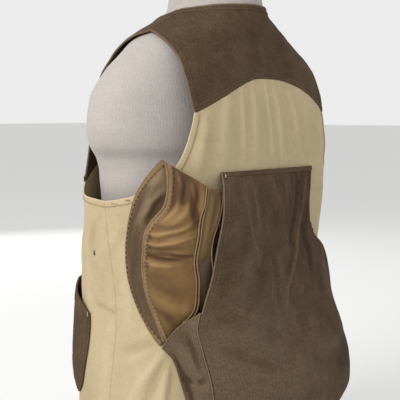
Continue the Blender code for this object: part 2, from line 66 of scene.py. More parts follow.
# height, half width, depth behind, depth in front, middle, roundness behind, roundness in front
GILET_SECTIONS = (
    (0.0, 0.205, 0.152, 0.135, 0.0, 3.2, 2.6),
    (0.1, 0.205, 0.15, 0.134, 0.0, 3.2, 2.6),
    (0.18, 0.199, 0.142, 0.132, 0.0, 3.4, 2.6),
    (0.3, 0.184, 0.13, 0.138, 0.0, 3.8, 2.6),
    (0.38, 0.196, 0.132, 0.122, 0.0, 4.4, 2.6),
    (0.46, 0.208, 0.136, 0.105, 0.0, 4.4, 2.6),
    (0.52, 0.218, 0.125, 0.108, 0.006, 4.2, 2.5),
    (0.58, 0.224, 0.112, 0.112, 0.014, 3.9, 2.4),
    (0.63, 0.214, 0.096, 0.11, 0.023, 3.2, 2.3),
    (0.66, 0.192, 0.087, 0.102, 0.028, 2.7, 2.1),
    (0.68, 0.169, 0.083, 0.094, 0.03, 2.3, 2.0),
    (0.696, 0.143, 0.082, 0.087, 0.032, 2.1, 2.0),
    (0.711, 0.111, 0.08, 0.08, 0.033, 2.0, 2.0),
    (0.726, 0.084, 0.077, 0.076, 0.033, 2.0, 2.0),
    (0.74, 0.074, 0.074, 0.074, 0.033, 2.0, 2.0),
)
FORM_SECTIONS = (
    (0.0, 0.16, 0.108, 0.096, 0.0, 2.4, 2.3),
    (0.012, 0.17, 0.116, 0.104, 0.0, 2.4, 2.3),
    (0.1, 0.176, 0.12, 0.108, 0.0, 2.4, 2.3),
    (0.2, 0.17, 0.112, 0.106, 0.0, 2.4, 2.3),
    (0.3, 0.156, 0.1, 0.102, 0.0, 2.4, 2.3),
    (0.4, 0.172, 0.108, 0.098, 0.0, 2.4, 2.3),
    (0.48, 0.188, 0.111, 0.094, 0.003, 2.4, 2.3),
    (0.515, 0.196, 0.108, 0.096, 0.006, 2.3, 2.2),
    (0.535, 0.211, 0.104, 0.098, 0.009, 2.2, 2.1),
    (0.56, 0.218, 0.1, 0.101, 0.012, 2.1, 2.0),
    (0.6, 0.217, 0.092, 0.1, 0.018, 2.1, 2.0),
    (0.64, 0.199, 0.083, 0.096, 0.025, 2.1, 2.0),
    (0.658, 0.184, 0.079, 0.09, 0.028, 2.1, 2.0),
    (0.6765, 0.1642, 0.079, 0.088, 0.03, 2.1, 2.0),
    (0.6925, 0.1396, 0.0798, 0.0842, 0.032, 2.0, 2.0),
    (0.7075, 0.1073, 0.0778, 0.0778, 0.033, 2.0, 2.0),
    (0.722, 0.0814, 0.075, 0.074, 0.033, 2.0, 2.0),
    (0.738, 0.0712, 0.0711, 0.0711, 0.033, 2.0, 2.0),
    (0.8, 0.066, 0.066, 0.066, 0.033, 2.0, 2.0),
    (0.852, 0.0655, 0.0655, 0.0655, 0.033, 2.0, 2.0),
    (0.859, 0.062, 0.062, 0.062, 0.033, 2.0, 2.0),
    (0.861, 0.054, 0.054, 0.054, 0.033, 2.0, 2.0),
)
FORM_SEGMENTS = 132
FORM_FLATNESS = 0.62
# Shoulder caps of the form: angle, half width in degrees, foot, top, rise
CAP = (96.0, 17.0, 0.5, 0.668, 0.0125)

# Edges of the panels, upwards: angle, height
ARMHOLE_BACK = (
    (90.0, 0.458), (83.0, 0.4615), (75.0, 0.4685), (68.0, 0.482), (62.5, 0.497),
    (59.5, 0.513), (57.3, 0.539), (56.2, 0.564), (56.0, 0.581),
)
ARMHOLE_YOKE = (
    (56.0, 0.581), (58.7, 0.6012), (61.7, 0.6238), (66.2, 0.65), (70.2, 0.6642),
    (74.5, 0.675), (79.0, 0.6832), (84.5, 0.69), (90.0, 0.6945),
)
ARMHOLE_FRONT = (
    (90.0, 0.458), (96.0, 0.4605), (104.0, 0.464), (110.0, 0.4695), (114.0, 0.48),
)
ARMHOLE_PATCH = (
    (114.0, 0.48), (116.5, 0.5), (119.5, 0.535), (121.0, 0.575), (120.5, 0.62),
    (117.0, 0.648), (110.0, 0.672), (100.0, 0.6875), (90.0, 0.6945),
)
NECKLINE_FRONT = (
    (165.0, 0.62), (156.0, 0.648), (147.0, 0.676), (137.0, 0.699), (124.0, 0.714),
    (90.0, 0.7275),
)
NECK_POINT = (165.0, 0.62)
NECK_BOTTOM = (180.0, 0.585)

# Soft folds of the solids: angle, top, bottom, half width in degrees, lean in degrees, rise
FOLDS = (
    (-50.0, 0.69, 0.512, 18.0, 0.0, 0.0085),
    (47.0, 0.6, 0.47, 6.0, 4.0, 0.003),
    (34.0, 0.62, 0.45, 6.0, 2.0, 0.0025),
    (21.0, 0.63, 0.46, 6.0, 0.0, 0.003),
    (6.0, 0.635, 0.44, 6.0, -2.0, 0.0028),
    (-9.0, 0.63, 0.45, 6.0, 2.0, 0.003),
    (-25.0, 0.63, 0.46, 6.0, -2.0, 0.0026),
    (-44.0, 0.6, 0.38, 6.0, -3.0, 0.004),
    (72.0, 0.4, 0.13, 6.0, -6.0, 0.003),
    (98.0, 0.45, 0.16, 6.5, 8.0, 0.0035),
    (116.0, 0.45, 0.12, 8.0, 4.0, 0.004),
    (140.0, 0.56, 0.38, 6.0, -6.0, 0.003),
    (158.0, 0.5, 0.14, 6.0, 2.0, 0.003),
    (-72.0, 0.44, 0.13, 6.0, 4.0, 0.0035),
    (-97.0, 0.45, 0.15, 6.5, -4.0, 0.0035),
    (-118.0, 0.45, 0.12, 8.0, -4.0, 0.004),
    (-142.0, 0.56, 0.36, 6.0, 6.0, 0.003),
    (-160.0, 0.5, 0.14, 6.0, -2.0, 0.003),
)
# Finer folds that only the shells have, same columns
FINE_FOLDS = (
    (51.5, 0.585, 0.5, 2.2, 1.0, 0.0032),
    (40.5, 0.612, 0.49, 3.6, 2.0, 0.004),
    (28.0, 0.622, 0.5, 2.2, -1.0, 0.0028),
    (14.0, 0.63, 0.498, 4.0, 1.5, 0.0044),
    (-2.5, 0.632, 0.505, 1.8, -1.5, 0.0022),
    (-15.5, 0.63, 0.498, 3.6, 1.0, 0.004),
    (-32.0, 0.618, 0.5, 2.4, -2.0, 0.0026),
    (-52.0, 0.59, 0.48, 2.2, 3.0, 0.002),
    (84.0, 0.44, 0.26, 2.6, -3.0, 0.0012),
    (104.0, 0.455, 0.25, 2.4, 6.0, 0.0018),
    (93.0, 0.33, 0.12, 3.0, 2.0, 0.0014),
    (76.0, 0.24, 0.102, 3.0, -4.0, 0.0014),
    (122.0, 0.47, 0.33, 1.6, -10.0, 0.0016),
    (149.0, 0.56, 0.3, 2.8, 2.0, 0.0013),
    (170.0, 0.54, 0.25, 2.4, -1.0, 0.001),
    (-84.0, 0.44, 0.24, 2.8, 3.0, 0.0013),
    (-106.0, 0.45, 0.2, 2.6, -5.0, 0.0013),
    (-128.0, 0.47, 0.34, 2.6, -3.0, 0.0012),
    (-150.0, 0.56, 0.3, 2.8, -2.0, 0.0013),
    (-171.0, 0.5, 0.22, 2.4, 1.0, 0.001),
    (-62.0, 0.3, 0.11, 3.0, 3.0, 0.0014),
)
# Drag lines and knocks in the cloth: half width in metres, rise, then the line as (angle, height)
CREASES = (
    (0.0048, 0.0052, ((65.0, 0.257), (70.5, 0.2263), (77.1, 0.1919), (80.0, 0.164))),
    (0.0044, -0.0044, ((63.8, 0.248), (67.6, 0.221), (71.5, 0.19), (74.0, 0.16))),
    (0.0048, 0.0032, ((63.0, 0.244), (64.2, 0.21), (66.0, 0.176), (66.0, 0.142))),
    (0.0042, -0.0034, ((61.8, 0.238), (61.6, 0.2175), (62.2, 0.19), (61.0, 0.16))),
    (0.0042, 0.0034, ((66.5, 0.26), (72.0, 0.252), (78.0, 0.24), (83.6, 0.2334))),
    (0.004, -0.0018, ((66.5, 0.268), (74.0, 0.264), (83.0, 0.25))),
    (0.0036, -0.0022, ((90.0, 0.2965), (93.4, 0.3006), (97.0, 0.305), (100.8, 0.3078), (103.0, 0.308))),
    (0.004, 0.0015, ((84.0, 0.315), (92.0, 0.309), (98.0, 0.299))),
    (0.0045, 0.0013, ((86.0, 0.41), (94.0, 0.39), (103.0, 0.366))),
    (0.004, -0.0012, ((92.0, 0.442), (98.0, 0.418), (104.0, 0.386))),
    (0.0042, 0.0014, ((-88.0, 0.43), (-97.0, 0.402), (-107.0, 0.382))),
    (0.0048, -0.0014, ((-86.0, 0.33), (-96.0, 0.321), (-105.0, 0.299))),
    (0.004, 0.0015, ((-70.0, 0.25), (-78.0, 0.238), (-88.0, 0.23))),
    (0.0045, 0.0016, ((118.0, 0.46), (126.0, 0.44), (137.0, 0.435))),
    (0.0045, 0.0014, ((-118.0, 0.462), (-127.0, 0.448), (-139.0, 0.43))),
    (0.005, 0.0013, ((146.0, 0.2), (156.0, 0.187), (168.0, 0.188))),
    (0.005, 0.0013, ((-144.0, 0.194), (-157.0, 0.19), (-168.0, 0.179))),
    (0.004, -0.0012, ((57.5, 0.55), (50.0, 0.542), (43.0, 0.548))),
    (0.0045, -0.0012, ((-57.5, 0.556), (-50.0, 0.54), (-44.0, 0.528))),
    (0.005, 0.0012, ((66.0, 0.638), (54.0, 0.648), (40.0, 0.67))),
    (0.005, 0.0011, ((-66.0, 0.642), (-52.0, 0.652), (-38.0, 0.666))),
    (0.006, -0.001, ((24.0, 0.702), (8.0, 0.69), (-10.0, 0.693))),
    (0.0045, 0.0012, ((124.0, 0.6), (134.0, 0.608), (144.0, 0.628))),
    (0.0045, 0.0012, ((-123.0, 0.59), (-133.0, 0.605), (-145.0, 0.62))),
)
# Painted shade in the tan cloth's creases and folds, painted highlight on its ridges: half width in metres,
# change of tone, line as (angle, height)
TAN_SHADE_AND_HIGHLIGHTS = (
    (0.0042, -0.8, ((63.8, 0.248), (67.6, 0.221), (71.5, 0.19), (74.0, 0.16))),
    (0.0036, 0.6, ((65.8, 0.255), (71.4, 0.2263), (77.8, 0.1919), (80.0, 0.17))),
    (0.0056, -0.95, ((61.8, 0.244), (61.2, 0.2175), (61.8, 0.19), (61.0, 0.15))),
    (0.0028, -0.6, ((90.0, 0.2965), (93.4, 0.3006), (97.0, 0.305), (100.8, 0.3078))),
    (0.0022, -0.45, ((121.5, 0.456), (124.0, 0.42), (128.0, 0.39), (131.0, 0.36))),
    (0.006, -0.4, ((69.0, 0.264), (77.0, 0.256), (86.0, 0.25))),
    (0.008, -0.32, ((80.0, 0.43), (84.0, 0.405), (90.0, 0.38))),
    (0.008, -0.32, ((96.0, 0.43), (100.0, 0.4), (101.0, 0.35))),
    (0.008, 0.3, ((86.0, 0.36), (84.0, 0.32), (83.0, 0.28))),
    (0.005, -0.6, ((-66.0, 0.24), (-72.0, 0.21), (-76.0, 0.17))),
    (0.007, -0.32, ((-92.0, 0.42), (-97.0, 0.39), (-95.0, 0.34))),
    (0.008, -0.28, ((140.0, 0.39), (146.0, 0.42), (158.0, 0.43))),
    (0.008, -0.28, ((-142.0, 0.4), (-150.0, 0.42), (-160.0, 0.46))),
)
# Metres of cloth to a degree of angle, for distances on the surface
DEGREE = 0.0034

# Game bag: height, left angle, left stand-off, middle stand-off, right stand-off, right angle
BAG_ROWS = (
    (0.499, 42.3, 0.0027, 0.0027, 0.0027, -40.4),
    (0.475, 44.6, 0.018, 0.008, 0.0027, -38.4),
    (0.45, 46.6, 0.029, 0.016, 0.003, -37.4),
    (0.415, 50.0, 0.041, 0.025, 0.005, -38.4),
    (0.395, 51.2, 0.0446, 0.029, 0.009, -41.0),
    (0.375, 52.2, 0.048, 0.033, 0.018, -46.0),
    (0.34, 54.2, 0.0545, 0.04, 0.0275, -49.2),
    (0.3, 55.5, 0.06, 0.047, 0.034, -53.0),
    (0.26, 54.3, 0.062, 0.055, 0.042, -56.5),
    (0.22, 52.4, 0.062, 0.064, 0.048, -58.0),
    (0.185, 51.2, 0.06, 0.068, 0.05, -58.0),
    (0.155, 50.6, 0.056, 0.066, 0.046, -57.0),
    (0.13, 50.4, 0.044, 0.054, 0.034, -55.0),
    (0.112, 50.4, 0.024, 0.03, 0.018, -53.0),
    (0.102, 50.4, 0.004, 0.004, 0.004, -51.0),
)
BAG_FOOT = 0.102
BAG_TOP = 0.4988
# Creases of the bag: half width in metres, rise, then the line as (share across, height)
BAG_CREASES = (
    (0.0036, 0.0034, ((-0.9, 0.487), (-0.857, 0.4683), (-0.736, 0.4341), (-0.513, 0.4033),
                      (-0.179, 0.3592), (0.034, 0.3273), (0.16, 0.29))),
    (0.006, -0.0034, ((-0.76, 0.484), (-0.66, 0.4639), (-0.56, 0.435), (-0.38, 0.412), (-0.15, 0.38))),
    (0.009, -0.0052, ((-0.92, 0.435), (-0.76, 0.406), (-0.62, 0.378), (-0.56, 0.335))),
    (0.0026, 0.0018, ((-0.6, 0.496), (-0.59, 0.478), (-0.56, 0.462))),
    (0.0024, -0.0016, ((-0.66, 0.496), (-0.65, 0.476), (-0.63, 0.46))),
    (0.0026, 0.0018, ((-0.72, 0.496), (-0.715, 0.478), (-0.7, 0.466))),
    (0.0026, 0.0014, ((-0.34, 0.496), (-0.35, 0.476), (-0.345, 0.456))),
    (0.0026, -0.0014, ((-0.1, 0.496), (-0.11, 0.478), (-0.14, 0.46))),
    (0.009, 0.0024, ((-0.96, 0.385), (-0.86, 0.355), (-0.8, 0.315), (-0.78, 0.27))),
    (0.007, -0.0016, ((-0.48, 0.42), (-0.26, 0.385), (-0.06, 0.345), (0.06, 0.31))),
    (0.006, 0.0013, ((0.52, 0.485), (0.47, 0.45), (0.46, 0.41))),
    (0.006, -0.0011, ((0.12, 0.487), (0.07, 0.45), (0.06, 0.415))),
    (0.007, 0.0014, ((-0.3, 0.488), (-0.34, 0.46), (-0.32, 0.43))),
    (0.009, 0.002, ((0.96, 0.3), (0.82, 0.27), (0.66, 0.25), (0.46, 0.242))),
    (0.009, -0.0022, ((0.94, 0.27), (0.76, 0.238), (0.56, 0.22), (0.34, 0.216))),
    (0.01, 0.0022, ((0.9, 0.22), (0.66, 0.19), (0.42, 0.18), (0.16, 0.182))),
    (0.006, -0.0014, ((0.64, 0.37), (0.5, 0.356), (0.34, 0.36))),
    (0.01, 0.0022, ((-0.95, 0.275), (-0.78, 0.24), (-0.56, 0.224), (-0.28, 0.222))),
    (0.01, -0.0022, ((-0.94, 0.235), (-0.72, 0.202), (-0.46, 0.19))),
    (0.009, 0.0018, ((-0.3, 0.164), (0.0, 0.148), (0.3, 0.155))),
)
GUSSET_LEFT_LIFT = 0.008
GUSSET_RIGHT_LIFT = 0.0015
GUSSET_LEFT_TOP = 0.327
# Front lines of the bag's sides, downwards: height, angle
GUSSET_LEFT = (
    (0.26, 65.0), (0.245, 61.3), (0.215, 58.5), (0.185, 56.0), (0.15, 54.2), (0.115, 53.0),
    (0.102, 52.4),
)
GUSSET_RIGHT_TOP = 0.415
GUSSET_RIGHT = (
    (0.411, -40.2), (0.395, -42.6), (0.378, -48.4), (0.356, -55.6), (0.32, -62.5), (0.28, -66.5),
    (0.245, -68.5), (0.215, -67.0), (0.185, -65.0), (0.15, -62.0), (0.115, -58.0), (0.102, -54.0),
)
# Creases of the bag's sides: half width in metres, rise, then the line as (share across, share up)
GUSSET_CREASES = (
    (0.0048, -0.0052, ((0.96, 0.93), (0.92, 0.84), (0.84, 0.72), (0.78, 0.6), (0.76, 0.42))),
    (0.005, 0.0034, ((0.66, 0.9), (0.56, 0.76), (0.5, 0.62), (0.5, 0.4), (0.56, 0.16))),
    (0.0034, -0.0034, ((0.88, 0.715), (0.76, 0.672), (0.56, 0.62), (0.34, 0.572), (0.16, 0.56))),
    (0.0044, 0.0022, ((0.84, 0.66), (0.6, 0.59), (0.36, 0.535), (0.14, 0.52))),
    (0.0044, -0.0022, ((0.36, 0.92), (0.28, 0.78), (0.26, 0.62))),
    (0.004, 0.0018, ((0.3, 0.46), (0.5, 0.36), (0.74, 0.3))),
)

# Seams and edges of the liner, downwards: angle, height, stand-off
LIP_EDGE = (
    (64.8, 0.5199, 0.01), (70.8, 0.4866, 0.006), (75.1, 0.4572, 0.004), (79.1, 0.416, 0.003),
    (80.8, 0.3774, 0.0026), (79.9, 0.3378, 0.0026), (75.1, 0.3018, 0.0028), (66.2, 0.263, 0.003),
)
LIP_SEAM = (
    (64.3, 0.517, 0.012), (62.7, 0.4943, 0.019), (62.5, 0.4634, 0.023), (67.1, 0.4311, 0.026),
    (68.7, 0.3873, 0.026), (68.7, 0.3459, 0.022), (66.8, 0.3013, 0.014), (64.7, 0.269, 0.005),
)
GUSSET_SEAM = (
    (51.0, 0.4803, 0.018), (52.2, 0.4616, 0.024), (53.7, 0.4456, 0.03), (54.8, 0.4188, 0.036),
    (55.7, 0.3902, 0.039), (55.0, 0.3587, 0.04), (55.5, 0.32, 0.036), (60.5, 0.28, 0.009),
)
STRIP_EDGE = (
    (43.6, 0.4719, 0.012), (45.6, 0.4564, 0.019), (48.1, 0.4389, 0.026), (50.8, 0.416, 0.032),
    (51.5, 0.3924, 0.035), (50.8, 0.364, 0.036), (51.0, 0.33, 0.034), (56.5, 0.288, 0.014),
)
LINER_SEAM = 0.0003
# Gathers of the liner: half width in metres, rise, then the line as (share across, share up)
LINER_CREASES = (
    (0.003, 0.0026, ((0.97, 0.555), (0.7, 0.575), (0.4, 0.62), (0.1, 0.7))),
    (0.0024, -0.0022, ((0.98, 0.535), (0.7, 0.545), (0.4, 0.585), (0.08, 0.65))),
    (0.0028, 0.0026, ((0.98, 0.515), (0.7, 0.52), (0.4, 0.545), (0.05, 0.6))),
    (0.0024, -0.0018, ((0.98, 0.498), (0.6, 0.5), (0.2, 0.52))),
    (0.003, 0.002, ((0.98, 0.484), (0.6, 0.48), (0.15, 0.49))),
    (0.0026, -0.0032, ((0.99, 0.468), (0.7, 0.458), (0.45, 0.452), (0.18, 0.448))),
    (0.0036, 0.0024, ((0.98, 0.44), (0.7, 0.425), (0.3, 0.415))),
    (0.0075, -0.0013, ((0.95, 0.38), (0.7, 0.33), (0.4, 0.27), (0.15, 0.23))),
    (0.008, 0.0014, ((0.95, 0.31), (0.7, 0.26), (0.4, 0.2), (0.2, 0.15))),
    (0.006, -0.0014, ((0.95, 0.22), (0.7, 0.17), (0.45, 0.11))),
    (0.0036, -0.0034, ((0.86, 0.97), (0.84, 0.85), (0.86, 0.74), (0.92, 0.64))),
    (0.005, 0.0032, ((0.7, 0.975), (0.68, 0.85), (0.72, 0.72), (0.84, 0.61))),
    (0.0042, -0.0026, ((0.56, 0.975), (0.55, 0.86), (0.58, 0.76))),
    (0.0052, 0.003, ((0.44, 0.975), (0.42, 0.86), (0.48, 0.72), (0.66, 0.6))),
    (0.005, -0.0034, ((0.28, 0.96), (0.24, 0.85), (0.22, 0.74), (0.16, 0.64))),
    (0.004, 0.002, ((0.12, 0.97), (0.1, 0.86), (0.08, 0.74))),
)
# Painted shade in the coated liner's folds and creases, painted sheen on its ridges, a few darker patches: half
# width in metres, change of tone, then the line as (share across, share up)
LINER_SHADE_SHEEN_AND_PATCHES = (
    (0.005, -0.5, ((0.99, 0.96), (0.94, 0.89), (0.77, 0.856), (0.72, 0.79), (0.84, 0.72))),
    (0.005, -0.55, ((0.6, 0.96), (0.55, 0.87), (0.58, 0.79), (0.66, 0.74))),
    (0.0045, -0.75, ((0.5, 0.87), (0.4, 0.82), (0.32, 0.745), (0.18, 0.7), (0.08, 0.65))),
    (0.0022, -0.9, ((0.97, 0.484), (0.7, 0.48), (0.45, 0.486), (0.17, 0.469), (0.05, 0.475))),
    (0.008, -0.14, ((0.86, 0.39), (0.62, 0.37), (0.46, 0.331))),
    (0.004, -0.3, ((0.9, 0.6), (0.6, 0.615), (0.3, 0.66))),
    (0.006, -0.2, ((0.7, 0.18), (0.52, 0.12), (0.4, 0.06))),
    (0.005, 0.45, ((0.88, 0.545), (0.5, 0.57), (0.16, 0.64))),
    (0.005, 0.18, ((0.3, 0.24), (0.2, 0.2), (0.24, 0.14))),
    (0.004, 0.35, ((0.34, 0.9), (0.26, 0.82), (0.14, 0.76))),
)
# Darker and paler patches of the lip, and painted shadow in its pinched fold: half width in metres, change of
# tone, then the line as (share across, share up)
LIP_PATCHES_AND_SHADOW = (
    (0.012, -0.4, ((0.5, 0.7), (0.44, 0.56), (0.4, 0.42), (0.4, 0.3), (0.5, 0.18))),
    (0.01, 0.6, ((0.5, 0.98), (0.46, 0.9), (0.5, 0.83))),
    (0.0045, -0.8, ((0.04, 0.77), (0.14, 0.712), (0.12, 0.65), (0.02, 0.6))),
)
# Painted highlights along the bag's ridges and painted shade along its hollows: half width in metres, change of
# tone, line as (share across, height)
BAG_SHADE_AND_HIGHLIGHTS = (
    (0.002, 0.6, ((-0.9, 0.487), (-0.857, 0.4683), (-0.736, 0.4341), (-0.513, 0.4033),
                    (-0.179, 0.3592), (0.034, 0.3273), (0.16, 0.29))),
    (0.011, -0.4, ((-0.8, 0.455), (-0.7, 0.415), (-0.56, 0.39), (-0.36, 0.36))),
    (0.003, 0.3, ((0.78, 0.478), (0.64, 0.44), (0.56, 0.4), (0.52, 0.35))),
    (0.003, -0.3, ((0.2, 0.49), (0.16, 0.46), (0.15, 0.42))),
    (0.004, 0.25, ((0.86, 0.33), (0.64, 0.3), (0.42, 0.29))),
    (0.005, 0.25, ((0.6, 0.23), (0.3, 0.21), (0.0, 0.22))),
)
# Creases of the lip and the inner strip, same columns as the liner's gathers
LIP_CREASES = (
    (0.0042, -0.0052, ((0.02, 0.77), (0.16, 0.712), (0.12, 0.65), (0.02, 0.6))),
    (0.0045, 0.0024, ((0.06, 0.83), (0.34, 0.74), (0.34, 0.64), (0.16, 0.56))),
    (0.005, 0.0018, ((0.4, 0.86), (0.52, 0.72), (0.48, 0.56), (0.42, 0.42))),
    (0.004, -0.0014, ((0.66, 0.8), (0.72, 0.64), (0.7, 0.48))),
    (0.004, 0.0012, ((0.3, 0.4), (0.36, 0.28), (0.44, 0.16))),
)
STRIP_CREASES = (
    (0.0022, 0.0016, ((0.7, 0.96), (0.66, 0.8), (0.6, 0.62), (0.62, 0.5))),
    (0.002, -0.0016, ((0.4, 0.96), (0.38, 0.8), (0.34, 0.64))),
    (0.0022, 0.0014, ((0.16, 0.94), (0.16, 0.76), (0.2, 0.56))),
    (0.003, -0.0014, ((0.2, 0.48), (0.5, 0.42), (0.8, 0.4))),
)

# Lower pockets, from foot to mouth: height at the rear, rear angle, height at the front
POCKET_ROWS = (
    (0.168, 117.0, 0.166),
    (0.173, 112.5, 0.18),
    (0.186, 109.0, 0.201),
    (0.21, 107.2, 0.23),
    (0.24, 106.0, 0.264),
    (0.268, 105.9, 0.3),
    (0.291, 106.6, 0.333),
)
POCKET_FRONT_ANGLE = 152.0
POCKET_SWELL = 0.014

BAND_HALF_WIDTH = 0.017
BUTTON_HEIGHTS = (0.548, 0.468, 0.388, 0.308, 0.228)
BUTTON_RADIUS = 0.0095
BUTTON_DEPTH = 0.0036
# Thread crossed over each button: reach from the middle, radius, sides
THREAD_REACH = 0.0021
THREAD_RADIUS = 0.00045
THREAD_SIDES = 6

# Camera: direction from behind and left, distance, eye height, pitch, focal length in pixels of a 400 frame
CAMERA_TURN = math.radians(51.5)
CAMERA_DISTANCE = 1.5
CAMERA_HEIGHT = 0.58
CAMERA_PITCH = math.radians(5.1)
FOCAL_PIXELS = 975.0
FRAME_PIXELS = 400.0
AXIS_PIXEL = 198.0


# Small helpers
def clamp(value):
    """The value held between 0 and 1."""
    return min(max(value, 0.0), 1.0)


def circle(sides):
    """Cosine and sine of each even turn round a ring."""
    turns = [2 * math.pi * k / sides for k in range(sides)]
    return [(math.cos(turn), math.sin(turn)) for turn in turns]


# Tables read as smooth curves
def smooth(table, at, column):
    """Read one column of a table whose first column is `at`, with a curve that never overshoots."""
    if at <= table[0][0]:
        return table[0][column]
    if at >= table[-1][0]:
        return table[-1][column]
    low = max(i for i in range(len(table) - 1) if table[i][0] <= at)
    rises = [
        (table[i + 1][column] - table[i][column]) / (table[i + 1][0] - table[i][0])
        for i in range(len(table) - 1)
    ]

    def slope(i):
        if i in (0, len(table) - 1):
            return rises[min(i, len(rises) - 1)]
        before, after = rises[i - 1], rises[i]
        if before * after <= 0:
            return 0.0
        return 2 * before * after / (before + after)

    span = table[low + 1][0] - table[low][0]
    t = (at - table[low][0]) / span
    return (
        (2 * t**3 - 3 * t**2 + 1) * table[low][column]
        + (t**3 - 2 * t**2 + t) * slope(low) * span
        + (3 * t**2 - 2 * t**3) * table[low + 1][column]
        + (t**3 - t**2) * slope(low + 1) * span
    )


def along(points, t):
    """The point at fraction t of a smooth curve through a short list of points."""
    last = len(points) - 1
    place = clamp(t) * last
    i = min(int(place), last - 1)
    f = place - i
    before = points[max(i - 1, 0)]
    a, b = points[i], points[i + 1]
    after = points[min(i + 2, last)]
    result = []
    for p0, p1, p2, p3 in zip(before, a, b, after):
        m1, m2 = (p2 - p0) / 2, (p3 - p1) / 2
        result.append(
            (2 * f**3 - 3 * f**2 + 1) * p1
            + (f**3 - 2 * f**2 + f) * m1
            + (3 * f**2 - 2 * f**3) * p2
            + (f**3 - f**2) * m2
        )
    return tuple(result)


def lerp(a, b, t):
    """The point at fraction t of the straight line from a to b."""
    return tuple(p + (q - p) * t for p, q in zip(a, b))


def steps(first, last, count):
    """count + 1 even values from first to last."""
    return [first + (last - first) * i / count for i in range(count + 1)]


class Ladder:
    """A table read once at fine even steps, then quickly by straight interpolation."""

    def __init__(self, table, step=0.0005):
        self.low = table[0][0]
        self.step = step
        count = int((table[-1][0] - self.low) / step) + 2
        width = len(table[0])
        self.rungs = [
            tuple(smooth(table, self.low + i * step, column) for column in range(1, width))
            for i in range(count)
        ]

    def read(self, at):
        place = min(max((at - self.low) / self.step, 0.0), len(self.rungs) - 1.001)
        i = int(place)
        f = place - i
        return [a + (b - a) * f for a, b in zip(self.rungs[i], self.rungs[i + 1])]


GILET_LADDER = Ladder(GILET_SECTIONS)
FORM_LADDER = Ladder(FORM_SECTIONS)
BAG_LADDER = Ladder(tuple((-row[0],) + tuple(row[1:]) for row in BAG_ROWS))
GUSSET_LADDERS = {
    1: Ladder(tuple((-height, angle) for height, angle in GUSSET_LEFT)),
    -1: Ladder(tuple((-height, angle) for height, angle in GUSSET_RIGHT)),
}


# The torso surface
def section_point(ladder, angle, height):
    """The point of a section at an angle from the middle of the back."""
    half_width, back, front, middle, back_power, front_power = ladder.read(height)
    turn = math.radians(angle)
    side, rear = math.sin(turn), math.cos(turn)
    depth, power = (back, back_power) if rear > 0 else (front, front_power)
    reach = ((abs(side) / half_width) ** power + (abs(rear) / depth) ** power) ** (-1 / power)
    return Vector((reach * side, middle + reach * rear, height))


def fold_rise(folds, angle, height):
    """How far a table of soft folds lifts the cloth here."""
    total = 0.0
    for middle, top, bottom, half_width, lean, rise in folds:
        if not bottom < height < top:
            continue
        down = (top - height) / (top - bottom)
        across = ((angle - middle - lean * down + 180.0) % 360.0 - 180.0) / half_width
        if abs(across) < 2.5:
            total += rise * math.exp(-across * across) * math.sin(math.pi * down) ** 0.7
    return total


def crease_rise(creases, x, y, x_scale, y_scale):
    """How far a table of creases lifts the cloth at a place whose units are x_scale and y_scale metres."""
    total = 0.0
    for half_width, rise, line in creases:
        reach = 2.6 * half_width
        best, best_t = reach * reach, None
        last = len(line) - 1
        for i in range(last):
            ax, ay = line[i]
            bx, by = line[i + 1]
            dx, dy = (bx - ax) * x_scale, (by - ay) * y_scale
            px, py = (x - ax) * x_scale, (y - ay) * y_scale
            t = clamp((px * dx + py * dy) / (dx * dx + dy * dy))
            gap = (px - dx * t) ** 2 + (py - dy * t) ** 2
            if gap < best:
                best, best_t = gap, (i + t) / last
        if best_t is not None:
            fade = math.sin(math.pi * min(max(best_t, 0.02), 0.98)) ** 0.6
            total += rise * fade * math.exp(-best / half_width**2)
    return total


def ripple(angle, height):
    """Slight unevenness of worn cloth."""
    turn = math.radians(angle)
    place = Vector((math.sin(turn) * 6.0, math.cos(turn) * 6.0, height * 20.0))
    return 0.0006 * noise.noise(place) + 0.0003 * noise.noise(place * 2.7)


def torso_parts(angle, height):
    """The base point and outward direction of the torso surface, and the lift of the cloth's folds."""
    turn, climb = 0.5, 0.0015
    point = section_point(GILET_LADDER, angle, height)
    ahead, behind = (section_point(GILET_LADDER, angle + step, height) for step in (turn, -turn))
    above, below = (section_point(GILET_LADDER, angle, height + step) for step in (climb, -climb))
    lift = fold_rise(FOLDS, angle, height)
    return point, (above - below).cross(ahead - behind).normalized(), lift


def torso_point(angle, height, out=0.0):
    """A point on the gilet's outer face, or `out` in front of it, with only the solids' folds."""
    point, outward, lift = torso_parts(angle, height)
    return point + outward * (out + lift)


def fine_relief(angle, height):
    """The folds, creases and unevenness that the shells have and the solids lack."""
    wrapped = (angle + 180.0) % 360.0 - 180.0
    turn = math.radians(angle)
    rumple = noise.noise(Vector((math.sin(turn) * 2.6, math.cos(turn) * 2.6, height * 11.0 + 4.0)))
    return (fold_rise(FINE_FOLDS, wrapped, height) + 0.0012 * rumple - 0.0002
            + crease_rise(CREASES, wrapped, height, DEGREE, 1.0)
            + ripple(angle, height))


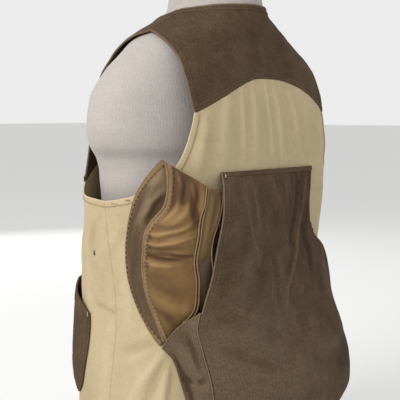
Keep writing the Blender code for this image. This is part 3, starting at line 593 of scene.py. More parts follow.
class Skin:
    """A cloth surface read by two numbers, s towards larger angles and t upwards."""

    def __init__(self, place, relief=None, s_step=0.25, t_step=0.0008, fine=True, domain=None, tint=None):
        self.place = place
        self.relief = relief
        self.tint = tint
        self.s_step = s_step
        self.t_step = t_step
        self.fine = fine
        self.s_low, self.s_high, self.t_low, self.t_high = domain or (-720.0, 720.0, 0.001, 0.739)

    def read(self, s, t):
        """Point, outward direction of the torso beneath, and the fine relief."""
        angle, height, out = self.place(s, t)
        point, outward, lift = torso_parts(angle, height)
        relief = fine_relief(angle, height) if self.fine else 0.4 * ripple(angle, height)
        if self.relief:
            relief += self.relief(s, t)
        return point + outward * (out + lift + relief), outward, relief

    def point(self, s, t):
        return self.read(s, t)[0]

    def directions(self, s, t):
        """Change of the point for one unit of s, for one unit of t, and the unit normal."""
        a, b = 2 * self.s_step, 2 * self.t_step
        s0 = min(max(s - a / 2, self.s_low), self.s_high - a)
        t0 = min(max(t - b / 2, self.t_low), self.t_high - b)
        by_s = (self.point(s0 + a, t) - self.point(s0, t)) / a
        by_t = (self.point(s, t0 + b) - self.point(s, t0)) / b
        return by_s, by_t, by_t.cross(by_s).normalized()

    def beside(self, s, t, move):
        """The (s, t) place that lies a vector `move` away along the surface, and the normal there."""
        by_s, by_t, normal = self.directions(s, t)
        ss, st, tt = by_s.dot(by_s), by_s.dot(by_t), by_t.dot(by_t)
        ms, mt = by_s.dot(move), by_t.dot(move)
        scale = ss * tt - st * st
        return s + (ms * tt - mt * st) / scale, t + (mt * ss - ms * st) / scale, normal


def torso_tint(angle, height):
    """Painted shade: the cloth is a little darker towards the hem, with painted shade and highlight along its
    creases and folds.
    """
    wrapped = (angle + 180.0) % 360.0 - 180.0
    low = clamp((0.34 - height) / 0.16)
    return crease_rise(TAN_SHADE_AND_HIGHLIGHTS, wrapped, height, DEGREE, 1.0) - 0.18 * low


TORSO = Skin(lambda angle, height: (angle, height, 0.0), tint=torso_tint)
UNIT = (0.0, 1.0, 0.0, 1.0)


# Objects
MATERIALS = {}
SIDES = ((1, "left"), (-1, "right"))
# Metres between the places along a band or a row of thread, and along a roll
TRIM_STEP = 0.004
CORD_STEP = 0.003
CORD_SIDES = 8
# Section of a turned band: share of its width, share of its rise; its edges sink into the cloth
RIBBON_SINK = 0.0008
RIBBON_SHAPE = (
    (0.0, -RIBBON_SINK), (0.0, 0.55), (0.1, 1.0), (0.5, 1.08), (0.9, 1.0), (1.0, 0.45), (1.0, -RIBBON_SINK),
)
# Rings of one stitch: share of its length, share of its radius, height in radii
STITCH_SIDES = 5
STITCH_RINGS = ((0.0, 0.2, -1.4), (0.18, 0.9, -0.1), (0.5, 1.0, 0.35), (0.82, 0.9, -0.1), (1.0, 0.2, -1.4))


def add_mesh(name, verts, faces, finish, smooth_angle=50.0, uvs=None, tones=None):
    """Make one named mesh object that rides on the part's body."""
    mesh = bpy.data.meshes.new(name)
    mesh.from_pydata([tuple(v) for v in verts], [], faces)
    if uvs:
        layer = mesh.uv_layers.new(name="cloth")
        for loop in mesh.loops:
            layer.data[loop.index].uv = uvs[loop.vertex_index]
    tone = mesh.attributes.new("tone", "FLOAT", "POINT")
    tone.data.foreach_set("value", tones or [0.5] * len(verts))
    mesh.update()
    mesh.shade_smooth()
    mesh.set_sharp_from_angle(angle=math.radians(smooth_angle))
    obj = bpy.data.objects.new(name, mesh)
    bpy.context.scene.collection.objects.link(obj)
    mesh.materials.append(MATERIALS[finish])
    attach(obj, BODY)
    return obj


def wall_faces(rows, cols):
    """Faces that close the space between two like grids, the outer one first."""
    start = rows * cols

    def at(i, j):
        return i * cols + j

    faces = []
    for i in range(rows - 1):
        for j in range(cols - 1):
            quad = (at(i, j), at(i + 1, j), at(i + 1, j + 1), at(i, j + 1))
            faces.append(quad)
            faces.append(tuple(start + k for k in reversed(quad)))
    rim = [at(0, j) for j in range(cols)] + [at(i, cols - 1) for i in range(1, rows)]
    rim += [at(rows - 1, j) for j in range(cols - 2, -1, -1)] + [at(i, 0) for i in range(rows - 2, 0, -1)]
    for a, b in zip(rim, rim[1:] + rim[:1]):
        faces.append((a, b, start + b, start + a))
    return faces


def shell(name, skin, rows, finish, thickness=CLOTH, flip=False, free=False):
    """A closed wall of cloth on a skin: rows of (s, t) places going up, columns towards larger angles."""
    grid, back, uvs, tones = [], [], [], []
    readings = [[skin.read(s, t) for s, t in row] for row in rows]
    tints = [[skin.tint(s, t) if skin.tint else 0.0 for s, t in row] for row in rows]
    count, width = len(rows), len(rows[0])
    for i, row in enumerate(readings):
        run = 0.0
        for j, (point, outward, relief) in enumerate(row):
            if j:
                run += (point - row[j - 1][0]).length
            if free:
                up = readings[min(i + 1, count - 1)][j][0] - readings[max(i - 1, 0)][j][0]
                around = row[min(j + 1, width - 1)][0] - row[max(j - 1, 0)][0]
                outward = up.cross(around).normalized()
                if flip:
                    outward.negate()
            grid.append(point)
            back.append(point - outward * thickness)
            uvs.append((run, point.z))
            # Tone: paler on ridges (wear and painted highlight), darker in hollows (painted shade), plus the
            # skin's tint
            tones.append(clamp(0.5 + relief / 0.006 + tints[i][j]))
    faces = wall_faces(count, width)
    if flip:
        faces = [tuple(reversed(face)) for face in faces]
    return add_mesh(name, grid + back, faces, finish, uvs=uvs * 2, tones=tones * 2)


def curve_places(points, count):
    """Even places along a smooth curve through a short list of (s, t) points."""
    return [along(points, t) for t in steps(0.0, 1.0, count)]


def evenly(skin, places, spacing):
    """Places along a line at an even spacing in metres."""
    points = [skin.point(*place) for place in places]
    lengths = [0.0]
    for a, b in zip(points, points[1:]):
        lengths.append(lengths[-1] + (b - a).length)
    count = max(int(lengths[-1] / spacing), 1)
    result, i = [], 0
    for k in range(count + 1):
        target = lengths[-1] * k / count
        while i < len(lengths) - 2 and lengths[i + 1] < target:
            i += 1
        f = (target - lengths[i]) / max(lengths[i + 1] - lengths[i], 1e-9)
        result.append(lerp(places[i], places[i + 1], f))
    return result


def rail(skin, places, side, inset):
    """The places of a line moved `inset` metres along the skin, to the right of its run for side 1."""
    moved = []
    for i, (s, t) in enumerate(places):
        ahead, behind = places[min(i + 1, len(places) - 1)], places[max(i - 1, 0)]
        run = skin.point(*ahead) - skin.point(*behind)
        normal = skin.directions(s, t)[2]
        move = run.cross(normal).normalized() * side * inset
        beside = skin.beside(s, t, move)
        moved.append(beside[:2])
    return moved


def ribbon(name, skin, places, side, width, rise, finish, spacing=TRIM_STEP, inset=0.0):
    """A flat raised band of cloth, such as a turned hem, lying on a skin along a line."""
    places = evenly(skin, places, spacing)
    lanes = [rail(skin, places, side, inset + width * share) for share, _ in RIBBON_SHAPE]
    verts = []
    for i in range(len(places)):
        for lane, (_, lift) in zip(lanes, RIBBON_SHAPE):
            s, t = lane[i]
            normal = skin.directions(s, t)[2]
            height = rise * lift if lift >= 0 else -RIBBON_SINK
            verts.append(skin.point(s, t) + normal * height)
    return tube_mesh(name, verts, len(RIBBON_SHAPE), finish, flip=side < 0)


def tube_faces(base, count, ring):
    """Faces of `count` rings of points in a run, closed at both ends."""
    faces = []
    for i in range(count - 1):
        low, high = base + i * ring, base + (i + 1) * ring
        for k in range(ring):
            n = (k + 1) % ring
            faces.append((low + k, low + n, high + n, high + k))
    faces.append(tuple(base + k for k in reversed(range(ring))))
    faces.append(tuple(base + (count - 1) * ring + k for k in range(ring)))
    return faces


def tube_mesh(name, verts, ring, finish, flip=False):
    """Close a run of rings of points into one solid."""
    count = len(verts) // ring
    faces = tube_faces(0, count, ring)
    if flip:
        faces = [tuple(reversed(face)) for face in faces]
    uvs, run = [], 0.0
    for i in range(count):
        if i:
            run += (verts[i * ring] - verts[(i - 1) * ring]).length
        uvs += [(run, 0.002 * k) for k in range(ring)]
    return add_mesh(name, verts, faces, finish, smooth_angle=70.0, uvs=uvs)


def cording(name, skin, places, radius, finish, lift=0.0, flat=1.0, wobble=0.0):
    """A round or flattened roll of cloth along a line on a skin, such as piping or a bound edge."""
    places = evenly(skin, places, CORD_STEP)
    verts = []
    for i, (s, t) in enumerate(places):
        ahead, behind = places[min(i + 1, len(places) - 1)], places[max(i - 1, 0)]
        run = (skin.point(*ahead) - skin.point(*behind)).normalized()
        normal = skin.directions(s, t)[2]
        across = normal.cross(run).normalized()
        up = run.cross(across).normalized()
        swell = 1.0 + wobble * noise.noise(Vector((i * 0.45, radius * 900.0, 0.0)))
        centre = skin.point(s, t) + normal * lift
        for cosine, sine in circle(CORD_SIDES):
            verts.append(centre + (across * cosine + up * sine * flat) * radius * swell)
    return tube_mesh(name, verts, CORD_SIDES, finish)


def stitching(name, skin, lines, finish, length=0.0026, gap=0.0012, radius=0.00034, lift=0.0003):
    """Rows of thread: each stitch is a small capsule that dips into the cloth at both ends."""
    verts, faces = [], []
    for places in lines:
        marks = evenly(skin, places, length + gap)
        for a, b in zip(marks, marks[1:]):
            start = skin.point(*a)
            run = (skin.point(*b) - start) * (length / (length + gap))
            if run.length < 1e-6:
                continue
            normal = skin.directions(*a)[2]
            across = normal.cross(run).normalized()
            faces += tube_faces(len(verts), len(STITCH_RINGS), STITCH_SIDES)
            for share, size, dip in STITCH_RINGS:
                centre = start + run * share + normal * (lift + dip * radius)
                for cosine, sine in circle(STITCH_SIDES):
                    verts.append(centre + (across * cosine + normal * sine) * radius * size)
    return add_mesh(name, verts, faces, finish, smooth_angle=80.0)


def thread_line(skin, places, side, inset, spacing=TRIM_STEP):
    """The places of one row of thread, `inset` metres beside a line."""
    return rail(skin, evenly(skin, places, spacing), side, inset)


def bartack(name, skin, start, end, finish):
    """A dense bar of short stitches set across a line, where a corner takes strain."""
    spine = evenly(skin, [start, end], 0.00055)
    edges = [rail(skin, spine, side, 0.0013) for side in (1, -1)]
    stitching(name, skin, [[a, b] for a, b in zip(*edges)], finish, length=0.0023, gap=0.0001,
              radius=0.00036, lift=0.001)


# Materials
def node(tree, kind, **inputs):
    """Add one node and set its inputs by name."""
    made = tree.nodes.new(kind)
    for key, value in inputs.items():
        made.inputs[key.replace("_", " ")].default_value = value
    return made


def ramp(tree, source, stops):
    """A colour ramp on a value: stops are (place, colour)."""
    made = tree.nodes.new("ShaderNodeValToRGB")
    made.color_ramp.elements[0].position = stops[0][0]
    made.color_ramp.elements[0].color = stops[0][1]
    made.color_ramp.elements[1].position = stops[-1][0]
    made.color_ramp.elements[1].color = stops[-1][1]
    for place, colour in stops[1:-1]:
        made.color_ramp.elements.new(place).color = colour
    tree.links.new(source, made.inputs["Fac"])
    return made.outputs["Color"]


def mixed(tree, mode, factor, a, b):
    """Mix two colours: factor, a and b are sockets or values."""
    made = tree.nodes.new("ShaderNodeMix")
    made.data_type = "RGBA"
    made.blend_type = mode
    for socket, value in ((made.inputs[0], factor), (made.inputs[6], a), (made.inputs[7], b)):
        if isinstance(value, bpy.types.NodeSocket):
            tree.links.new(value, socket)
        else:
            socket.default_value = value
    return made.outputs[2]


def grey(value):
    return (value, value, value, 1.0)


def cloth_material(name, colour, roughness, pitch, weave=0.25, mottle=0.25, wear_and_shade=0.3, sheen=0.15,
                   worn=None, dark=None, slub=0.12, shine=0.25, grain=0.35):
    """Woven cloth: twill lines, slubs, mottling, and paler ridges (wear and painted highlight) over hollows of
    painted shade.
    """
    material = bpy.data.materials.new(name)
    material.use_nodes = True
    tree = material.node_tree
    links = tree.links
    shader = tree.nodes["Principled BSDF"]
    shader.inputs["Roughness"].default_value = roughness
    shader.inputs["Sheen Weight"].default_value = sheen
    shader.inputs["Sheen Roughness"].default_value = 0.5
    shader.inputs["Specular IOR Level"].default_value = shine

    spot = tree.nodes.new("ShaderNodeTexCoord")
    cloth = tree.nodes.new("ShaderNodeUVMap")
    cloth.uv_map = "cloth"

    def lines(direction_angle, scale_x, scale_y):
        turned = tree.nodes.new("ShaderNodeMapping")
        turned.inputs["Rotation"].default_value = (0.0, 0.0, direction_angle)
        turned.inputs["Scale"].default_value = (scale_x, scale_y, 1.0)
        links.new(cloth.outputs["UV"], turned.inputs["Vector"])
        return turned.outputs["Vector"]

    twill = node(tree, "ShaderNodeTexWave", Scale=1.0, Distortion=1.2, Detail=2.0, Detail_Scale=1.5)
    links.new(lines(math.radians(38.0), 0.314 / pitch, 0.05 / pitch), twill.inputs["Vector"])
    warp = node(tree, "ShaderNodeTexNoise", Scale=1.0, Detail=3.0, Roughness=0.6)
    links.new(lines(0.0, 560.0, 45.0), warp.inputs["Vector"])
    weft = node(tree, "ShaderNodeTexNoise", Scale=1.0, Detail=3.0, Roughness=0.6)
    links.new(lines(0.0, 45.0, 560.0), weft.inputs["Vector"])
    broad = node(tree, "ShaderNodeTexNoise", Scale=7.0, Detail=5.0, Roughness=0.62)
    links.new(spot.outputs["Object"], broad.inputs["Vector"])
    blotch = node(tree, "ShaderNodeTexNoise", Scale=38.0, Detail=6.0, Roughness=0.68)
    links.new(spot.outputs["Object"], blotch.inputs["Vector"])
    speck = node(tree, "ShaderNodeTexNoise", Scale=1.0, Detail=3.0, Roughness=0.7)
    links.new(lines(math.radians(-42.0), 620.0, 230.0), speck.inputs["Vector"])
    tone = tree.nodes.new("ShaderNodeAttribute")
    tone.attribute_name = "tone"

    base = (*colour, 1.0)
    # Pale colour for random mottles, worn ridges and painted highlights; dark colour for random blotches and
    # painted shade in hollows
    pale = (*(worn or tuple(min(c * 1.55 + 0.01, 1.0) for c in colour)), 1.0)
    deep = (*(dark or tuple(c * 0.62 for c in colour)), 1.0)
    shade = base
    # Random mottles, then the tone attribute: above 0.52 the pale colour (wear and painted highlight), below
    # 0.47 the dark colour (painted shade)
    for source, first, last, other in (
        (broad, (0.36, 0.0), (0.66, mottle), pale), (blotch, (0.4, mottle), (0.6, 0.0), deep),
        (tone, (0.52, 0.0), (0.92, wear_and_shade), pale), (tone, (0.1, wear_and_shade), (0.47, 0.0), deep),
    ):
        share = ramp(tree, source.outputs["Fac"], ((first[0], grey(first[1])), (last[0], grey(last[1]))))
        shade = mixed(tree, "MIX", share, shade, other)
    for source, share, first, last in (
        (twill, weave, (0.15, 0.62), (0.75, 1.0)), (warp, slub, (0.35, 0.55), (0.65, 1.0)),
        (weft, slub, (0.35, 0.55), (0.65, 1.0)), (speck, grain, (0.36, 0.5), (0.64, 1.12)),
    ):
        other = ramp(tree, source.outputs["Fac"], ((first[0], grey(first[1])), (last[0], grey(last[1]))))
        shade = mixed(tree, "MULTIPLY", share, shade, other)
    links.new(shade, shader.inputs["Base Color"])

    below = None
    for source, strength, distance in ((twill, 0.35, 0.0004), (weft, 0.45, 0.0005), (blotch, 0.5, 0.0012)):
        bump = node(tree, "ShaderNodeBump", Strength=strength, Distance=distance)
        links.new(source.outputs["Fac"], bump.inputs["Height"])
        if below:
            links.new(below.outputs["Normal"], bump.inputs["Normal"])
        below = bump
    links.new(below.outputs["Normal"], shader.inputs["Normal"])
    MATERIALS[name] = material


def plain_material(name, colour, roughness, scale, depth, contrast):
    """A fine-grained finish, such as thread or horn, with a little colour variation."""
    material = bpy.data.materials.new(name)
    material.use_nodes = True
    tree = material.node_tree
    shader = tree.nodes["Principled BSDF"]
    shader.inputs["Roughness"].default_value = roughness
    spot = tree.nodes.new("ShaderNodeTexCoord")
    grain = node(tree, "ShaderNodeTexNoise", Scale=scale, Detail=5.0, Roughness=0.6)
    tree.links.new(spot.outputs["Object"], grain.inputs["Vector"])
    low = tuple(c * (1.0 - contrast) for c in colour)
    high = tuple(min(c * (1.0 + contrast), 1.0) for c in colour)
    shade = ramp(tree, grain.outputs["Fac"], ((0.35, (*low, 1.0)), (0.65, (*high, 1.0))))
    tree.links.new(shade, shader.inputs["Base Color"])
    bump = node(tree, "ShaderNodeBump", Strength=0.4, Distance=depth)
    tree.links.new(grain.outputs["Fac"], bump.inputs["Height"])
    tree.links.new(bump.outputs["Normal"], shader.inputs["Normal"])
    MATERIALS[name] = material


# Threads: name, colour, contrast
THREADS = (
    ("brown_thread", (0.133, 0.09, 0.058), 0.25),
    ("dark_thread", (0.05, 0.022, 0.012), 0.25),
    ("rust_thread", (0.108, 0.05, 0.024), 0.25),
    ("tan_thread", (0.36, 0.281, 0.173), 0.15),
    ("pale_thread", (0.374, 0.288, 0.166), 0.15),
)


def make_materials():
    cloth_material("tan_twill", (0.474, 0.373, 0.222), 0.84, 0.0012, weave=0.16, mottle=0.14, wear_and_shade=0.5,
                   slub=0.12, worn=(0.547, 0.446, 0.281), dark=(0.338, 0.256, 0.144), sheen=0.03, grain=0.16)
    cloth_material("tan_edge", (0.533, 0.432, 0.274), 0.84, 0.0012, weave=0.14, mottle=0.15, wear_and_shade=0.2, slub=0.06,
                   sheen=0.03, grain=0.15)
    cloth_material("brown_canvas", (0.109, 0.067, 0.036), 0.9, 0.0017, weave=0.34, mottle=0.3, wear_and_shade=0.66,
                   slub=0.34, worn=(0.184, 0.13, 0.081), dark=(0.056, 0.033, 0.019), sheen=0.0, shine=0.1,
                   grain=0.75)
    cloth_material("brown_edge", (0.173, 0.119, 0.072), 0.87, 0.0015, weave=0.25, mottle=0.25, wear_and_shade=0.2,
                   slub=0.2, sheen=0.0, shine=0.1)
    cloth_material("lip_canvas", (0.115, 0.073, 0.04), 0.84, 0.0012, weave=0.2, mottle=0.3, wear_and_shade=0.8,
                   slub=0.16, worn=(0.238, 0.169, 0.097), dark=(0.063, 0.036, 0.019), sheen=0.0, shine=0.12)
    cloth_material("lip_edge", (0.205, 0.124, 0.063), 0.8, 0.0012, weave=0.15, mottle=0.35, wear_and_shade=0.3, slub=0.12,
                   sheen=0.0, shine=0.15)
    cloth_material("lip_binding", (0.238, 0.151, 0.076), 0.78, 0.0012, weave=0.15, mottle=0.35, wear_and_shade=0.3,
                   slub=0.12, sheen=0.0, shine=0.2)
    cloth_material("coated_liner", (0.169, 0.094, 0.032), 0.56, 0.001, weave=0.05, mottle=0.3, wear_and_shade=0.85,
                   slub=0.05, worn=(0.31, 0.194, 0.078), dark=(0.066, 0.03, 0.011), sheen=0.0, shine=0.2,
                   grain=0.18)
    cloth_material("olive_canvas", (0.119, 0.071, 0.027), 0.76, 0.0012, weave=0.15, mottle=0.3, wear_and_shade=0.85,
                   slub=0.12, worn=(0.191, 0.119, 0.049), dark=(0.086, 0.06, 0.04), sheen=0.0, shine=0.2)
    cloth_material("jersey", (0.439, 0.4, 0.371), 0.9, 0.0014, weave=0.12, mottle=0.08, wear_and_shade=0.2, slub=0.14,
                   worn=(0.49, 0.45, 0.421), dark=(0.36, 0.324, 0.295), sheen=0.05, grain=0.2)
    for name, colour, contrast in THREADS:
        plain_material(name, colour, 0.8, 1500.0, 0.0001, contrast)
    # Near-black painted shade of the worn hole, also used for the frayed marks
    plain_material("hole_shade_and_fray_dark", (0.022, 0.014, 0.01), 0.95, 900.0, 0.0002, 0.4)
    plain_material("horn", (0.054, 0.03, 0.016), 0.32, 160.0, 0.0001, 0.55)


# The dress form
def form_point(angle, height):
    """A point of the form, with its rounded shoulder caps."""
    middle, half_width, foot, top, rise = CAP
    point = section_point(FORM_LADDER, angle, height)
    if foot < height < top:
        across = (abs(angle) - middle) / half_width
        lift = rise * math.exp(-across * across) * math.sin(math.pi * (height - foot) / (top - foot))
        outward = Vector((point.x, point.y * 2.0, 0.0)).normalized()
        point += outward * lift
    return point


def build_form():
    """The jersey-covered body, from its flat foot to the top of the neck stump."""
    heights = [0.0, 0.003, 0.007, 0.012] + steps(0.02, 0.5, 60) + steps(0.505, 0.74, 78)
    heights += steps(0.745, 0.852, 26) + [0.855, 0.857, 0.859, 0.8602, 0.861]
    verts, uvs, tones = [], [], []
    for height in heights:
        for k in range(FORM_SEGMENTS):
            turn = 2 * math.pi * k / FORM_SEGMENTS
            angle = math.degrees(math.atan2(math.sin(turn), math.cos(turn) * FORM_FLATNESS))
            point = form_point(angle, height)
            outward = Vector((point.x, (point.y - 0.02) * 1.6, 0.0)).normalized()
            wave = 0.0
            if height > 0.735:
                fade = min((height - 0.735) / 0.03, 1.0) * min((0.8605 - height) / 0.004, 1.0)
                pull = noise.noise(Vector((math.sin(turn) * 5.0, math.cos(turn) * 5.0, height * 7.0)))
                wave = 0.0009 * fade * pull
            verts.append(point + outward * wave)
            uvs.append((turn * 0.15, height))
            # Painted highlight on the neck's ripples and painted shade between them
            tones.append(0.5 + wave * 260.0)
    faces = []
    for i in range(len(heights) - 1):
        for k in range(FORM_SEGMENTS):
            a, b = i * FORM_SEGMENTS + k, i * FORM_SEGMENTS + (k + 1) % FORM_SEGMENTS
            faces.append((a, a + FORM_SEGMENTS, b + FORM_SEGMENTS, b))
    faces.append(tuple(range(FORM_SEGMENTS)))
    last = (len(heights) - 1) * FORM_SEGMENTS
    faces.append(tuple(last + k for k in reversed(range(FORM_SEGMENTS))))
    obj = add_mesh("form_cover", verts, faces, "jersey", uvs=uvs, tones=tones)
    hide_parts("dress_form")


# Body panels
def arch(angle):
    """Height of the yoke's lower edge at an angle."""
    power = ARCH_POWER_LEFT if angle > 0 else ARCH_POWER_RIGHT
    return ARCH_TOP - (ARCH_TOP - ARCH_CORNER[1]) * abs(angle / ARCH_CORNER[0]) ** power


def mirrored(places):
    return [(-s, t) for s, t in places]


def build_back():
    """The tan back from the hem to the yoke."""
    across = steps(-1.0, 1.0, 150)
    rows = []
    for height in steps(HEM, UNDERARM, 80)[:-1]:
        rows.append([((90.0 - SIDE_GAP) * u, height) for u in across])
    for v in steps(0.0, 1.0, 42):
        angle, height = along(ARMHOLE_BACK, v)
        angle = min(angle, 90.0 - SIDE_GAP)
        rows.append([(angle * u, height + (arch(ARCH_CORNER[0] * u) - ARCH_CORNER[1]) * v**3 - SEAM * v)
                     for u in across])
    obj = shell("back_tan", TORSO, rows, "tan_twill")
    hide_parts("back_panel")


def build_yoke():
    """The brown back yoke, from its arch to the neck and the tops of the shoulders."""
    neck_share = 0.58
    tip = (90.0 - SHOULDER_GAP, SHOULDER_TIP)
    rows = []
    for v in steps(0.0, 1.0, 48):
        side = along(ARMHOLE_YOKE, v)
        straight = lerp(ARCH_CORNER, tip, v)
        row = []
        for u in steps(-1.0, 1.0, 100):
            share = abs(u)
            low = (ARCH_CORNER[0] * share, arch(ARCH_CORNER[0] * u))
            if share < neck_share:
                turn = share / neck_share
                high = ((90.0 - SHOULDER_GAP) * turn, NECK_BACK + (NECK_SIDE - NECK_BACK) * turn**2)
            else:
                drop = (share - neck_share) / (1.0 - neck_share)
                high = (90.0 - SHOULDER_GAP, NECK_SIDE + (SHOULDER_TIP - NECK_SIDE) * drop**1.3)
            angle, height = lerp(low, high, v)
            angle += (min(side[0], 90.0 - SHOULDER_GAP) - straight[0]) * share**3
            height += (side[1] - straight[1]) * share**3
            row.append((math.copysign(angle, u), height))
        rows.append(row)
    obj = shell("yoke_back", TORSO, rows, "brown_canvas")
    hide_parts("back_yoke")


def patch_seam(u):
    """The seam between the tan front and the brown shoulder patch, from the armhole to the neckline."""
    angle, height = lerp(ARMHOLE_FRONT[-1], NECK_POINT, u)
    return angle, height - 0.012 * math.sin(math.pi * u)


def half(name, rows, side, finish):
    """A left-side shell, or its mirror on the right."""
    if side < 0:
        rows = [mirrored(reversed(row)) for row in rows]
    return shell(name, TORSO, rows, finish)


def build_front(side, word):
    """One tan front."""
    last = (180.0 - SIDE_GAP * 2, NECK_BOTTOM[1])
    top = [along(ARMHOLE_FRONT, t) for t in steps(0.0, 1.0, 18)]
    top[0] = (90.0 + SIDE_GAP, UNDERARM)
    top += [patch_seam(t) for t in steps(0.0, 1.0, 36)[1:]]
    top += [lerp(NECK_POINT, last, t) for t in steps(0.0, 1.0, 14)[1:]]
    rows = []
    for v in steps(0.0, 1.0, 100):
        rows.append([(angle, HEM + (height - 2 * SEAM - HEM) * v) for angle, height in top])
    obj = half(f"front_tan_{word}", rows, side, "tan_twill")
    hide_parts(f"front_{word}")


def build_patch(side, word):
    """One brown front yoke."""
    tip, neck = (90.0 + SHOULDER_GAP, SHOULDER_TIP), (90.0 + SHOULDER_GAP, NECK_SIDE)
    rows = []
    for v in steps(0.0, 1.0, 60):
        outer, inner = along(ARMHOLE_PATCH, v), along(NECKLINE_FRONT, v)
        row = []
        for u in steps(0.0, 1.0, 36):
            angle, height = lerp(outer, inner, u)
            seam = patch_seam(u)
            straight = lerp(ARMHOLE_PATCH[0], NECK_POINT, u)
            height += (seam[1] - straight[1]) * (1.0 - v) ** 2
            crest = NECK_SIDE + (SHOULDER_TIP - NECK_SIDE) * (1.0 - u) ** 1.3
            height += (crest - lerp(tip, neck, u)[1]) * v**2
            row.append((max(angle, 90.0 + SHOULDER_GAP), height))
        rows.append(row)
    obj = half(f"yoke_front_{word}", rows, side, "brown_canvas")
    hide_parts(f"front_yoke_{word}")


def build_closing():
    """The button band and its buttons."""
    out = CLOTH + 2 * LAYER
    band = Skin(lambda angle, height: (angle, height, out))
    rows = []
    for height in steps(HEM, NECK_BOTTOM[1] - 0.006, 140):
        front = -section_point(GILET_LADDER, 180.0, height).y
        reach = math.degrees(math.atan(BAND_HALF_WIDTH / front))
        rows.append([(180.0 + reach * u, height) for u in steps(-1.0, 1.0, 10)])
    obj = shell("band", band, rows, "tan_twill")
    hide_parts("button_band")
    lines = []
    for share in (-0.78, 0.78):
        lines.append([(180.0 + share * math.degrees(math.atan(BAND_HALF_WIDTH / 0.12)), height)
                      for height in steps(HEM + 0.003, NECK_BOTTOM[1] - 0.01, 60)])
    stitching("band_stitches", band, lines, "rust_thread")
    for number, height in enumerate(BUTTON_HEIGHTS, start=1):
        build_button(f"button_{number}", height, out + SEAM)


def build_button(name, height, out):
    """A dished four-hole button with its thread, in place of the plain solid."""
    seat = torso_point(180.0, height, out)
    up = (torso_point(180.0, height + 0.006, out) - torso_point(180.0, height - 0.006, out)).normalized()
    right = Vector((1.0, 0.0, 0.0))
    facing = right.cross(up).normalized()
    profile = (
        (0.0, 0.0), (0.72, 0.0), (0.94, 0.18), (1.0, 0.42), (0.99, 0.68), (0.94, 0.9), (0.86, 1.0),
        (0.76, 0.97), (0.68, 0.84), (0.6, 0.74), (0.4, 0.7), (0.2, 0.69), (0.0, 0.69),
    )
    sides = 40
    verts, faces = [seat.copy()], []
    for reach, depth in profile[1:-1]:
        for cosine, sine in circle(sides):
            verts.append(seat + (right * cosine + up * sine) * BUTTON_RADIUS * reach
                         + facing * BUTTON_DEPTH * depth)
    verts.append(seat + facing * BUTTON_DEPTH * profile[-1][1])
    rings, top = len(profile) - 2, len(verts) - 1
    for k in range(sides):
        n = (k + 1) % sides
        faces.append((0, 1 + n, 1 + k))
        for i in range(rings - 1):
            a, b = 1 + i * sides + k, 1 + i * sides + n
            faces.append((a, b, b + sides, a + sides))
        ring = 1 + (rings - 1) * sides
        faces.append((ring + k, ring + n, top))
    obj = add_mesh(f"{name}_turned", verts, faces, "horn")
    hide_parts(name)
    thread_verts, thread_faces = [], []
    for across, rise in ((1, 1), (1, -1)):
        line = (right * across + up * rise).normalized()
        wide = facing.cross(line).normalized()
        shares = steps(-1.0, 1.0, 8)
        thread_faces += tube_faces(len(thread_verts), len(shares), THREAD_SIDES)
        for share in shares:
            above = BUTTON_DEPTH * 0.69 + 0.0006 * (1.0 - share**4) - 0.0002
            centre = seat + line * THREAD_REACH * share + facing * above
            for cosine, sine in circle(THREAD_SIDES):
                thread_verts.append(centre + (wide * cosine + facing * sine) * THREAD_RADIUS)
    add_mesh(f"{name}_thread", thread_verts, thread_faces, "brown_thread")


# Pockets
def pocket_skin(side):
    """The swelling front of a lower pocket: share across from its rear edge, share up from its foot."""
    def place(u, v):
        rear_height, rear_angle, front_height = along(POCKET_ROWS, v)
        angle = rear_angle + (POCKET_FRONT_ANGLE - rear_angle) * u
        height = rear_height + (front_height - rear_height) * min(1.0, u * 2.2)
        inner, rise = clamp(u), clamp(v)
        swell = math.sin(math.pi * inner) ** 0.8 * math.sin(math.pi * (0.08 + 0.72 * rise)) ** 0.9
        swell = max(swell - 0.12, 0.0)
        return angle * side, height, CLOTH + LAYER + POCKET_SWELL * swell
    return Skin(place, s_step=0.01, t_step=0.01, domain=UNIT)


def build_pocket(side, word):
    skin = pocket_skin(side)
    rows = [[(u, v) for u in steps(0.0, 1.0, 54)] for v in steps(0.0, 1.0, 60)]
    obj = shell(f"pocket_cloth_{word}", skin, rows, "brown_canvas", flip=side < 0)
    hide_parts(f"pocket_{word}")
    mouth = [(u, 1.0) for u in steps(0.0, 1.0, 60)]
    down = 1 if side < 0 else -1
    ribbon(f"pocket_hem_{word}", skin, mouth, down, 0.011, 0.0006, "brown_canvas")
    edge = [(0.0, v) for v in steps(1.0, 0.0, 60)] + [(u, 0.0) for u in steps(0.0, 1.0, 40)[1:]]
    edge += [(1.0, v) for v in steps(0.0, 1.0, 50)[1:]]
    inward = 1 if side > 0 else -1
    lines = [thread_line(skin, edge, inward, inset) for inset in (0.002, 0.0075)]
    lines += [thread_line(skin, mouth, down, inset) for inset in (0.0025, 0.0095)]
    stitching(f"pocket_stitches_{word}", skin, lines, "brown_thread", lift=0.0005)
    for place, u in (("rear", 0.03), ("front", 0.97)):
        bartack(f"pocket_bartack_{place}_{word}", skin, (u, 0.985), (u, 0.935), "tan_thread")


# Game bag
def bag_place(u, height):
    """A place on the bag's main panel: u is -1 at the right edge, 0 in the middle and 1 at the left edge."""
    left_angle, left_out, middle_out, right_out, right_angle = BAG_LADDER.read(-height)
    angle = (left_angle + right_angle) / 2 + (left_angle - right_angle) / 2 * u
    edge = left_out if u > 0 else right_out
    return angle, height, middle_out + (edge - middle_out) * abs(u) ** 1.8


